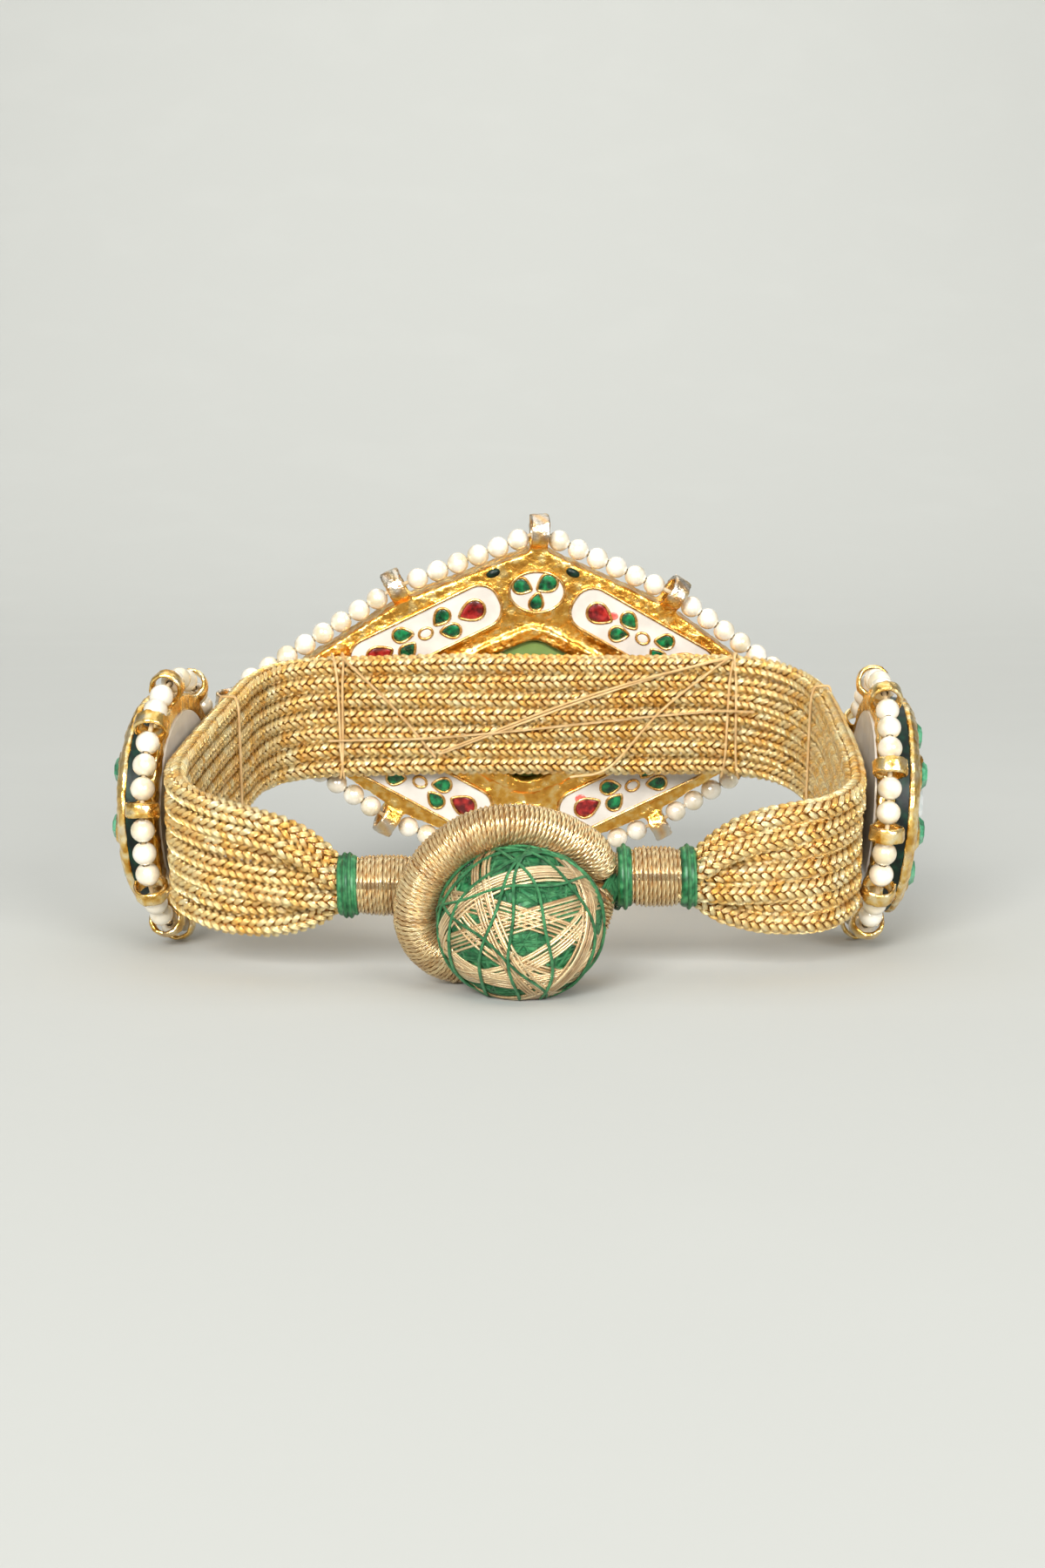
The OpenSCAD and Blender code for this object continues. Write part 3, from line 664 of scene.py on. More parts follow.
class CastSurface(DressTree):
    """Gives a solid the lumps of a casting worked over by hand."""

    def __init__(self) -> None:
        """Builds the tree once."""
        super().__init__("cast_surface", {
            "Body": "NodeSocketGeometry", "Lump Size": "NodeSocketFloat", "Depth": "NodeSocketFloat",
            "Finish": "NodeSocketMaterial"})
        tree, given = self.tree, self.given
        place = add_node(tree, "GeometryNodeInputPosition")
        count = add_node(tree, "ShaderNodeMath", {0: 1.0, 1: given["Lump Size"]}, operation="DIVIDE")
        lumps = add_node(tree, "ShaderNodeTexNoise", {"Vector": place.outputs[0], "Scale": count.outputs[0],
                                                      "Detail": 2.0})
        height = add_node(tree, "ShaderNodeMath", {0: lumps.outputs["Fac"], 1: 0.5}, operation="SUBTRACT")
        scaled = add_node(tree, "ShaderNodeMath", {0: height.outputs[0], 1: given["Depth"]},
                          operation="MULTIPLY")
        normal = add_node(tree, "GeometryNodeInputNormal")
        push = add_node(tree, "ShaderNodeVectorMath", {0: normal.outputs[0], "Scale": scaled.outputs[0]},
                        operation="SCALE")
        moved = add_node(tree, "GeometryNodeSetPosition",
                         {"Geometry": given["Body"], "Offset": push.outputs[0]})
        self.finish_tree(moved.outputs["Geometry"])


class FullerBeads(DressTree):
    """Grows each bead of a string about its own middle, no two quite alike."""

    def __init__(self) -> None:
        """Builds the tree once."""
        super().__init__("fuller_beads", {
            "Beads": "NodeSocketGeometry", "Least": "NodeSocketFloat", "Most": "NodeSocketFloat",
            "Seed": "NodeSocketInt", "Finish": "NodeSocketMaterial"})
        tree, given = self.tree, self.given
        welded = add_node(tree, "GeometryNodeMergeByDistance",
                          {"Geometry": given["Beads"], "Distance": 1e-6})
        bead = add_node(tree, "GeometryNodeInputMeshIsland")
        growth = add_node(tree, "FunctionNodeRandomValue",
                          {LEAST: given["Least"], MOST: given["Most"], "ID": bead.outputs["Island Index"],
                           "Seed": given["Seed"]}, data_type="FLOAT")
        grown = add_node(tree, "GeometryNodeScaleElements",
                         {"Geometry": welded.outputs["Geometry"], "Scale": growth.outputs[DRAWN]},
                         domain="FACE")
        self.finish_tree(grown.outputs["Geometry"])


@dataclass
class Workshop:
    """The finishes and trees that every sub-assembly shares, with the sizes of what they work."""

    repeater: PathRepeater = field(default_factory=PathRepeater)
    spinner: PathThread = field(default_factory=PathThread)
    caster: CastSurface = field(default_factory=CastSurface)
    grower: FullerBeads = field(default_factory=FullerBeads)
    made: dict[str, bpy.types.Material] = field(default_factory=dict)
    # Length in which a thread's ply makes one turn
    ply_length: float = 0.9
    thread_seed: int = 5
    # Least and most growth of a pearl, which closes the model's gaps of 0.12 mm as on the real string
    pearl_growth: tuple[float, float] = (1.03, 1.065)
    # Bend in degrees past which an edge stays sharp, as at a pearl's drilled hole
    sharp_edge: float = 40.0
    # A casting's lumps and their depth, and the grid that its solid is worked on, with its smoothing
    lump: float = 1.25
    lump_depth: float = 0.42
    grid: float = 0.27
    soften: float = 0.5
    soften_rounds: int = 3

    def dye(self, finish: Finish) -> bpy.types.Material:
        """The material of a finish, built once.

        Args:
            finish: the finish.

        Returns:
            Its material.
        """
        if finish.name not in self.made:
            self.made[finish.name] = finish.material()
        return self.made[finish.name]

    def dress(self, node: str, finish: Finish) -> None:
        """Gives a model node its material.

        Args:
            node: the node's name.
            finish: the finish that it gets.
        """
        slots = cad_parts[node].data.materials
        slots.clear()
        slots.append(self.dye(finish))
        LOG.info("%s: %s", node, finish.name)

    def keep(self, piece: bpy.types.Object, slot: str, *nodes: str) -> None:
        """Declares a finished piece.

        Args:
            piece: the piece, at the origin.
            slot: not used.
            nodes: the model nodes that it stands for, if any.
        """
        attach(piece, "root")
        if nodes:
            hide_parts(*nodes)
        LOG.info("%s: %d faces", piece.name, len(piece.data.polygons))

    def spin(self, name: str, lines: list[Line], closed: bool, finish: Finish, slot: str,
             sides: int = 6) -> None:
        """Args:
            name: the piece's name.
            lines: points in metres and a radius for each, a pair for each thread.
            closed: whether each thread joins its own start.
            finish: the thread's finish.
            slot: its material slot.
            sides: corners of the thread's section.
        """
        piece = self.spinner.build(name, new_path(name + "_path", lines, closed), Sides=sides,
                                   Seed=self.thread_seed, Finish=self.dye(finish),
                                   **{"Twist Length": self.ply_length * MM})
        self.keep(piece, slot)

    def fill_out(self, name: str, node: str, finish: Finish, seed: int) -> None:
        """Grows the pearls of a string until neighbours touch, and stands them in the node's place.

        Args:
            name: the piece's name.
            node: the model node.
            finish: the pearls' finish.
            seed: seed of their uneven sizes.
        """
        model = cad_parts[node]
        points = [model.matrix_world @ spot.co for spot in model.data.vertices]
        faces = [list(face.vertices) for face in model.data.polygons]
        least, most = self.pearl_growth
        piece = self.grower.build(name, new_mesh(name + "_base", points, faces), Least=least, Most=most,
                                  Seed=seed, Finish=self.dye(finish))
        piece.data.set_sharp_from_angle(angle=math.radians(self.sharp_edge))
        self.keep(piece, "pearl", node)

    def cast(self, name: str, node: str, finish: Finish,
             worn: Callable[[np.ndarray], np.ndarray]) -> None:
        """Makes a lumpy casting from a model node, and stands it in the node's place.

        Args:
            name: the piece's name.
            node: the model node.
            finish: the metal's finish.
            worn: gives how worn the gilding is, from 0 to 1, at each row of points in metres.
        """
        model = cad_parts[node]
        mesh = model.data.copy()
        mesh.transform(model.matrix_world)
        base = bpy.data.objects.new(name + "_base", mesh)
        bpy.context.scene.collection.objects.link(base)
        grid = base.modifiers.new("grid", "REMESH")
        grid.mode = "VOXEL"
        grid.voxel_size = self.grid * MM
        soften = base.modifiers.new("soften", "SMOOTH")
        soften.factor = self.soften
        soften.iterations = self.soften_rounds
        piece = self.caster.build(name, base, Finish=self.dye(finish), Depth=self.lump_depth * MM,
                                  **{"Lump Size": self.lump * MM})
        places = np.zeros(len(piece.data.vertices) * 3)
        piece.data.vertices.foreach_get("co", places)
        layer = piece.data.attributes.new("worn", "FLOAT", "POINT")
        layer.data.foreach_set("value", worn(places.reshape(-1, 3)).astype(np.float32))
        self.keep(piece, "gold", node)


@dataclass
class Band:
    """Seven braided zari cords, side by side and gathered into a bundle at each sleeve."""

    shop: Workshop
    cord_d: float = 2.06
    cord_pitch: float = 2.18
    bundle_pitch: float = 1.83
    bundle_gap: float = 0.12
    # Length over which the bundle opens, and the power by which cords leave their seats in it sideways
    gather: float = 4.0
    seat_ease: int = 3
    # Length of a stitch of the braid. The real one is longer, about 1.4 mm on the back of the band
    stitch: float = 1.0
    slant: float = 38.0
    columns: int = 6
    plump: float = 1.07
    stitch_jitter: float = 0.03
    stitch_lean: Row = (0.05, 0.05, 0.06)
    # A grain of the braid in shares of the cord's radius: half its length, width and height
    grain_half: Row = (0.75, 0.31, 0.31)
    grain_rings: int = 5
    grain_sides: int = 5
    # Room at a grain's ends in rings, their taper, the height of its middle line and the dip to its ends
    grain_end: float = 0.35
    grain_taper: float = 0.92
    grain_level: float = 0.89
    grain_dip: float = 0.08
    # Radius at which a grain's width is laid round the cord
    grain_wrap: float = 0.9
    # The core under the grains: its radius, its sides, and half its length in stitches, with an overlap
    core_radius: float = 0.82
    core_sides: int = 10
    core_half: float = 0.52
    # Slow waves of a cord, upwards and outwards: reach in millimetres, then radians a step and a cord
    rise_wave: Row = (0.13, 0.33, 2.1)
    depth_wave: Row = (0.078, 0.27, 1.3)
    route_steps: int = 4
    # Columns: across, depth, height
    left_mouth: Row = (-18.5, -26.7, -0.7)
    right_mouth: Row = (18.6, -25.8, -0.1)
    # Columns: across, depth
    route: list[Row] = field(default_factory=lambda: [
        (-16.9, -26.7), (-18.7, -26.7), (-22.7, -25.9), (-27.3, -24.5), (-32.2, -21.9), (-35.9, -17.6),
        (-37.0, -12.5), (-36.4, -6.2), (-35.4, 0.2), (-34.3, 6.4), (-33.1, 12.4), (-32.0, 17.8),
        (-29.5, 22.7), (-24.8, 25.3), (-17.0, 25.9), (-8.0, 26.0), (0.7, 26.0), (9.0, 26.2), (17.0, 26.5),
        (24.6, 26.2), (30.6, 23.8), (34.3, 19.2), (36.0, 13.4), (36.5, 7.0), (36.6, 0.0), (36.6, -7.0),
        (36.4, -13.0), (35.6, -18.2), (32.5, -22.4), (27.8, -24.3), (23.2, -25.2), (18.8, -25.8),
        (17.0, -25.8)])
    # Columns: across, up, in bundle pitches
    seats: list[Row] = field(default_factory=lambda: [
        (0, -1), (0.87, -0.5), (-0.87, -0.5), (0, 0), (0.87, 0.5), (-0.87, 0.5), (0, 1)])

    def share(self, x: float, y: float) -> float:
        """How much of the round bundle is in the band's shape at a place.

        Args:
            x: the place across.
            y: its depth.

        Returns:
            1 inside a sleeve, and less and less away from its mouth.
        """
        if y < 0 and self.left_mouth[0] < x < self.right_mouth[0]:
            return 1.0
        mouth = self.left_mouth if x < 0 else self.right_mouth
        return math.exp(-math.hypot(x - mouth[0], y - mouth[1]) / self.gather)

    @staticmethod
    def stray(wave: Row, step: int, k: int) -> float:
        """How far a cord strays from its line at a step of its route."""
        reach, by_step, by_cord = wave
        return reach * math.sin(by_step * step + by_cord * k)

    def cord(self, k: int) -> Line:
        """The line and the radii of one cord.

        Args:
            k: the cord's number from the bottom, from 0.

        Returns:
            Points in metres in the frame, and radii in metres.
        """
        plan = smooth(self.route, self.route_steps)
        ahead = np.vstack([plan[1:], plan[-1:]]) - np.vstack([plan[:1], plan[:-1]])
        ahead /= np.linalg.norm(ahead, axis=1)[:, None]
        place = PLACES.band()
        seat_across, seat_up = self.seats[k]
        points, radii = [], []
        for step, ((x, y), (dx, dy)) in enumerate(zip(plan, ahead)):
            share = self.share(x, y)
            rest = self.left_mouth[2] if x < 0 else self.right_mouth[2]
            flat = (k - len(self.seats) // 2) * self.cord_pitch + self.stray(self.rise_wave, step, k)
            bundled = seat_up * self.bundle_pitch + rest
            side = seat_across * self.bundle_pitch * (1 - (1 - share) ** self.seat_ease)
            side += self.stray(self.depth_wave, step, k)
            points.append(place @ Vector((x + dy * side, y - dx * side, flat + (bundled - flat) * share)))
            thick = self.cord_d * (1 - share) + (self.bundle_pitch - self.bundle_gap) * share
            radii.append(thick / 2 * MM)
        return np.array(points), np.array(radii)

    def grain(self, column: int) -> tuple[list, list, list]:
        """One slanted grain of the braid, for a cord radius of one.

        Args:
            column: its place round the cord, from 0. Odd ones slant the other way, half a stitch on.

        Returns:
            Points, faces and a place in the UV map for each point.
        """
        half_long, half_wide, half_high = self.grain_half
        rings, sides, end = self.grain_rings, self.grain_sides, self.grain_end
        tilt = math.radians(self.slant)
        sign = 1 if column % 2 == 0 else -1
        middle = (column + 0.5) * 2 * math.pi / self.columns
        shift = 0.0 if sign > 0 else self.unit_stitch() / 2
        points, uvs = [], []
        for i in range(rings):
            t = -1 + 2 * (i + end) / (rings - 1 + 2 * end)
            fat = math.sqrt(1 - t * t * self.grain_taper)
            level = self.grain_level - self.grain_dip * t * t
            for j in range(sides):
                a = 2 * math.pi * j / sides
                wide = half_wide * fat * math.cos(a)
                reach = level + half_high * fat * math.sin(a)
                along = t * half_long * math.cos(tilt) - wide * math.sin(tilt)
                arc = sign * (t * half_long * math.sin(tilt) + wide * math.cos(tilt))
                angle = middle + arc / self.grain_wrap
                points.append((reach * math.cos(angle), reach * math.sin(angle), along + shift))
                uvs.append((i / rings, j / sides))
        faces = tube_faces(rings, sides)
        if sign > 0:
            faces = [face[::-1] for face in faces]
        return points, faces, uvs

    def core(self) -> tuple[list, list, list]:
        """The floss core under one round of grains, for a cord radius of one.

        Returns:
            Points, faces and a place in the UV map for each point, left of zero for the core's colour.
        """
        half = self.unit_stitch() * self.core_half
        points, uvs = [], []
        for z in (-half, half):
            for j in range(self.core_sides):
                a = 2 * math.pi * j / self.core_sides
                points.append((self.core_radius * math.cos(a), self.core_radius * math.sin(a), z))
                uvs.append((CORE_ACROSS, j / self.core_sides))
        return points, tube_faces(2, self.core_sides), uvs

    def unit_stitch(self) -> float:
        """The length of a stitch, for a cord radius of one."""
        return self.stitch / (self.cord_d / 2)

    def stitch_unit(self) -> bpy.types.Object:
        """One round of the braid: slanted grains on a core, for a radius of one.

        Returns:
            The round, which is removed after use.
        """
        grains = [self.grain(column) for column in range(self.columns)]
        return new_mesh("stitch_unit", *joined(grains + [self.core()]))

    def build(self) -> None:
        """Makes the seven braids."""
        unit = self.stitch_unit()
        finish = self.shop.dye(ZARI)
        for k in range(len(self.seats)):
            points, radii = self.cord(k)
            path = new_path("cord_path", [(points, radii * self.plump)])
            braid = self.shop.repeater.build(f"zari_braid_{k + 1}", path, Unit=unit, Seed=k + 1,
                                             Jitter=self.stitch_jitter, Tilt=self.stitch_lean,
                                             Spacing=self.stitch * MM, Finish=finish)
            self.shop.keep(braid, "zari_cord", f"band_cord_{k + 1}")
        bpy.data.objects.remove(unit)


@dataclass
class Clasp:
    """Wound sleeves and rings, the loop, and the thread button."""

    shop: Workshop
    # Thickness of the wound gold thread and of the green one, both estimates
    wrap: float = 0.4
    green_wrap: float = 0.42
    wrap_sides: int = 26
    wrap_section: int = 5
    # In half thicknesses of the thread: height of a turn's middle over the body, and its slant to each side
    wrap_rise: float = 0.35
    wrap_slant: float = 0.5
    # Lengths of the UV map that go round one turn
    wrap_lengths: int = 6
    # Spacing in thicknesses, and the uneven size and lean of the turns
    wrap_spacing: float = 1.03
    wrap_jitter: float = 0.014
    wrap_lean: Row = (0.012, 0.012, 0.0)
    # Reach of a turn over the wound body in thicknesses, by which the lowest turns are kept over the floor
    wrap_reach: float = 0.9
    # Share by which a turned body's radius falls off at its ends, and its mesh
    ring_swell: float = 0.1
    body_rings: int = 9
    body_sides: int = 32
    body_seed: int = 20
    route_seed: int = 40
    route_steps: int = 6
    # Columns: across, depth, height, radius
    loop: list[Row] = field(default_factory=lambda: [
        (10.9, -25.9, 1.3, 1.2), (9.6, -25.95, 1.32, 1.2), (8.5, -26.9, 1.9, 1.66), (6.9, -29.2, 4.4, 2.0),
        (3.6, -31.0, 6.9, 2.0), (-0.6, -31.9, 8.0, 2.0), (-4.6, -32.1, 7.0, 2.1), (-8.1, -32.2, 4.1, 2.15),
        (-9.9, -32.2, 0.4, 2.15), (-10.0, -32.1, -3.0, 2.15), (-8.5, -31.4, -6.0, 2.1),
        (-5.4, -30.3, -7.8, 2.1), (-1.2, -29.3, -8.15, 2.05), (3.4, -28.6, -7.7, 2.0),
        (7.0, -27.8, -5.2, 2.0), (8.5, -26.9, -2.1, 1.66), (9.6, -25.95, -1.52, 1.2),
        (10.9, -25.9, -1.5, 1.2)])
    # Columns: from, to, depth, height, radius
    bodies: dict[str, Row] = field(default_factory=lambda: {
        "left_green_ring": (-18.5, -16.5, -26.7, -0.7, 3.2),
        "left_sleeve": (-16.6, -10.4, -26.7, -0.7, 2.95),
        "right_inner_ring": (10.5, 11.9, -25.8, -0.1, 3.2),
        "right_sleeve": (11.8, 17.1, -25.8, -0.1, 2.95),
        "right_outer_ring": (17.0, 18.6, -25.8, -0.1, 3.2)})
    # Columns: across, depth, height, radius
    shank: list[Row] = field(default_factory=lambda: [
        (-10.5, -26.7, -0.7, 2.6), (-10.0, -26.7, -0.7, 2.5), (-9.2, -26.9, -0.7, 2.3),
        (-7.4, -27.8, -0.7, 1.9), (-5.6, -29.2, -0.8, 1.7), (-4.9, -29.8, -0.85, 1.7)])
    # The knot at the loop's legs: its turns, where their middles lie, their lean in radians and their reach
    knot_turns: int = 14
    knot_across: tuple[float, float] = (9.2, 10.3)
    knot_depth: float = -25.9
    knot_height: tuple[float, float] = (-1.9, -0.6)
    knot_lean: float = 0.5
    knot_reach: tuple[float, float] = (1.55, 1.85)
    knot_steps: int = 28
    knot_thread_r: float = 0.2
    knot_seed: int = 4
    # The button: half its length across and its radius, its middle, and the steps of a line round it
    ball_half: tuple[float, float] = (8.1, 7.4)
    ball_place: Row = (0.4, -35.6, -1.1)
    line_steps: int = 64
    # Radians of a wandering line's phase by its offset and by its turn, and the share of its second wave
    wander_phase: tuple[float, float] = (17.0, 31.0)
    wander_second: float = 0.6
    net_seed: int = 11
    # Its green ground: lines, how far off the middle they go, their lift over the button and their radius
    ground_lines: int = 60
    ground_offset: float = 0.35
    ground_lift: float = 0.02
    ground_r: float = 0.15
    # Its bands of gold strip. Columns: bands, lean of their plane, first turn, lift
    strip_bands: list[tuple[int, float, float, float]] = field(default_factory=lambda: [
        (5, 60, 20, 0.1), (3, 30, 50, 0.24)])
    # Strips of a band side by side, and how unevenly they lie
    strips: int = 6
    strip_pitch: float = 0.046
    strip_r: float = 0.155
    band_sway: float = 4.0
    strip_sway: float = 0.012
    strip_rise: float = 0.08
    # Its green net: upright lines, their lift and radius, and how unevenly they lie
    net_lines: int = 7
    net_lift: float = 0.42
    net_r: float = 0.17
    net_turn_sway: float = 6.0
    net_lean_sway: float = 9.0
    net_offset_sway: float = 0.08
    net_wander: float = 0.05
    # Slanted lines of the net. Columns: turn about the upright, lean, offset
    slanted_net: list[Row] = field(default_factory=lambda: [
        (200, 40, 0.5), (300, 62, -0.45), (80, 55, 0.62)])
    slanted_r: float = 0.15
    slanted_wander: float = 0.06

    def wrap_unit(self, radius: float, thread: float) -> bpy.types.Object:
        """One turn of thread as a ring, for a path radius of one.

        Args:
            radius: the real radius of the wound body in millimetres.
            thread: the thread's thickness in millimetres.

        Returns:
            The ring, which is removed after use.
        """
        sides, section = self.wrap_sides, self.wrap_section
        thick = thread * 0.5 / radius
        points, faces, uvs = [], [], []
        for i in range(sides):
            a = 2 * math.pi * i / sides
            for j in range(section):
                b = 2 * math.pi * j / section
                reach = 1.0 + thick * self.wrap_rise + thick * math.cos(b)
                along = thick * math.sin(b) + self.wrap_slant * thick * math.sin(a)
                points.append((reach * math.cos(a), reach * math.sin(a), along))
                uvs.append((self.wrap_lengths * i / sides, j / section))
        for i in range(sides):
            for j in range(section):
                n, m = (i + 1) % sides, (j + 1) % section
                faces.append([i * section + j, n * section + j, n * section + m, i * section + m])
        return new_mesh("wrap_unit", points, faces, uvs)

    def wind(self, node: str, rows: np.ndarray, thread: float, winding: Winding, seed: int) -> None:
        """Winds thread over a model node along a path.

        Args:
            node: the model node.
            rows: across, depth, height and radius at each place of the path, in millimetres.
            thread: the thread's thickness in millimetres.
            winding: what the node is wound with.
            seed: seed of its uneven tension and shade.
        """
        name = node + "_winding"
        place = PLACES.band()
        points = np.array([place @ Vector(row[:3]) for row in rows])
        points[:, 2] = np.maximum(points[:, 2], (rows[:, 3] + self.wrap_reach * thread) * MM)
        unit = self.wrap_unit(float(rows[:, 3].mean()), thread)
        path = new_path(name + "_path", [(points, rows[:, 3] * MM)])
        piece = self.shop.repeater.build(name, path, Unit=unit, Jitter=self.wrap_jitter, Seed=seed,
                                         Tilt=self.wrap_lean, Spacing=thread * self.wrap_spacing * MM,
                                         Finish=self.shop.dye(TURNS[winding]))
        self.shop.keep(piece, winding.value)
        bpy.data.objects.remove(unit)

    def swollen(self, radius: float, t: float) -> float:
        """A turned body's radius at a place from -1 to 1 along it, less at its rounded ends."""
        return radius * (1 - self.ring_swell * t ** 4)

    def barrel(self, node: str, winding: Winding) -> None:
        """Turns the body of a ring or a sleeve with rounded ends, in its node's place.

        Args:
            node: the model node.
            winding: what the body is wound with.
        """
        start, end, y, z, radius = self.bodies[node]
        place = PLACES.band()
        points = []
        for i in range(self.body_rings):
            t = -1 + 2 * i / (self.body_rings - 1)
            x = (start + end) / 2 + t * (end - start) / 2
            reach = self.swollen(radius, t)
            for j in range(self.body_sides):
                a = 2 * math.pi * j / self.body_sides
                points.append(place @ Vector((x, y + reach * math.cos(a), z + reach * math.sin(a))))
        body = new_mesh(node + "_body", points, tube_faces(self.body_rings, self.body_sides))
        # Under gold turns the body gets the dark floss, whose colour paints the shade between the turns
        body.data.materials.append(self.shop.dye(UNDER_TURNS[winding]))
        self.shop.keep(body, winding.value, node)

    def build(self) -> None:
        """Turns the rings and sleeves, dresses the loop and the button, and winds them all."""
        for seed, (node, (start, end, y, z, radius)) in enumerate(self.bodies.items(), self.body_seed):
            winding = Winding.GREEN if "ring" in node else Winding.GOLD
            thread = self.green_wrap if winding is Winding.GREEN else self.wrap
            self.barrel(node, winding)
            rows = np.array([((start + end) / 2 + t * ((end - start) / 2 - thread / 2), y, z,
                              self.swollen(radius, t)) for t in np.linspace(-1, 1, self.body_rings)])
            self.wind(node, rows, thread, winding, seed)
        routes = {"closing_loop": self.loop, "button_shank": self.shank}
        for seed, (node, route) in enumerate(routes.items(), self.route_seed):
            # The loop and the shank get the dark floss under their turns, whose colour paints the shade
            # between them
            self.shop.dress(node, UNDER_TURNS[Winding.GOLD])
            self.wind(node, smooth(route, self.route_steps), self.wrap, Winding.GOLD, seed)
        self.shop.dress("thread_button", GREEN_SILK)
        self.build_net()
        self.build_knot()

    def build_knot(self) -> None:
        """Ties the loop's two legs with a lump of green thread beside the inner ring."""
        draw = np.random.default_rng(self.knot_seed)
        place = PLACES.band()
        lean, steps = self.knot_lean, self.knot_steps
        lines = []
        for _ in range(self.knot_turns):
            middle = Vector((draw.uniform(*self.knot_across), self.knot_depth,
                             draw.uniform(*self.knot_height)))
            turn = (Matrix.Rotation(draw.uniform(-lean, lean), 3, "Y")
                    @ Matrix.Rotation(draw.uniform(-lean, lean), 3, "Z"))
            reach = draw.uniform(*self.knot_reach)
            points = []
            for i in range(steps):
                a = 2 * math.pi * i / steps
                round_spot = Vector((0, reach * math.cos(a), reach * math.sin(a)))
                points.append(place @ (middle + turn @ round_spot))
            lines.append((np.array(points), np.full(steps, self.knot_thread_r * MM)))
        self.shop.spin("green_knot", lines, True, GREEN_SILK, Winding.GREEN.value, sides=5)

    def round_line(self, turn: Matrix, offset: float, lift: float, radius: float,
                   wander: float = 0.0) -> Line:
        """A closed line round the button.

        Args:
            turn: how the line's circle is turned from upright across the band.
            offset: how far the circle is moved off the middle, as a share of the button.
            lift: height over the button's surface in millimetres.
            radius: the thread's radius in millimetres.
            wander: how far the line strays from its circle, as a share of the button.

        Returns:
            Points and radii in metres.
        """
        place = PLACES.band()
        half_x, half_r = self.ball_half
        # Each line strays in two slow waves, whose phase is its own because its offset and turn are
        by_offset, by_turn = self.wander_phase
        phase = by_offset * offset + by_turn * turn[0][0]
        grow = np.array((half_x + lift, half_r + lift, half_r + lift))
        points = []
        for i in range(self.line_steps):
            a = 2 * math.pi * i / self.line_steps
            stray = wander * (math.sin(2 * a + phase) + self.wander_second * math.sin(5 * a - phase))
            way = turn @ Vector((offset + stray, math.cos(a), math.sin(a))).normalized()
            spot = place @ (Vector(self.ball_place) + Vector(np.array(way) * grow))
            spot.z = max(spot.z, radius * MM)
            points.append(spot)
        return np.array(points), np.full(self.line_steps, radius * MM)

    @staticmethod
    def lean(about_z: float, tilt: float) -> Matrix:
        """Turns a circle round the button, about the upright and from it, both in degrees."""
        return Matrix.Rotation(math.radians(about_z), 3, "Z") @ Matrix.Rotation(math.radians(tilt), 3, "Y")

    def build_net(self) -> None:
        """Winds the button: a green ground, bands of gold strip that cross, and a thin green net."""
        draw = np.random.default_rng(self.net_seed)
        ground, bands, net = [], [], []
        for _ in range(self.ground_lines):
            turn = self.lean(draw.uniform(0, 360), draw.uniform(0, 90))
            offset = draw.uniform(-self.ground_offset, self.ground_offset)
            ground.append(self.round_line(turn, offset, self.ground_lift, self.ground_r))
        for count, tilt, first, lift in self.strip_bands:
            for k in range(count):
                sway = draw.uniform(-self.band_sway, self.band_sway)
                middle = self.lean(first + 360 * k / count, tilt + sway)
                for strip in range(self.strips):
                    offset = (strip - (self.strips - 1) / 2) * self.strip_pitch
                    offset += draw.uniform(-self.strip_sway, self.strip_sway)
                    rise = lift + draw.uniform(0, self.strip_rise)
                    bands.append(self.round_line(middle, offset, rise, self.strip_r))
        for k in range(self.net_lines):
            about = 360 / self.net_lines * k / 2 + draw.uniform(-self.net_turn_sway, self.net_turn_sway)
            turn = self.lean(about, draw.uniform(-self.net_lean_sway, self.net_lean_sway))
            offset = draw.uniform(-self.net_offset_sway, self.net_offset_sway)
            net.append(self.round_line(turn, offset, self.net_lift, self.net_r, self.net_wander))
        for about, tilt, offset in self.slanted_net:
            net.append(self.round_line(self.lean(about, tilt), offset, self.net_lift, self.slanted_r,
                                       self.slanted_wander))
        self.shop.spin("button_green_ground", ground, True, GREEN_SILK, "button", sides=5)
        self.shop.spin("button_gold_bands", bands, True, STRIP_GOLD, "button", sides=4)
        self.shop.spin("button_green_net", net, True, GREEN_SILK, "button")


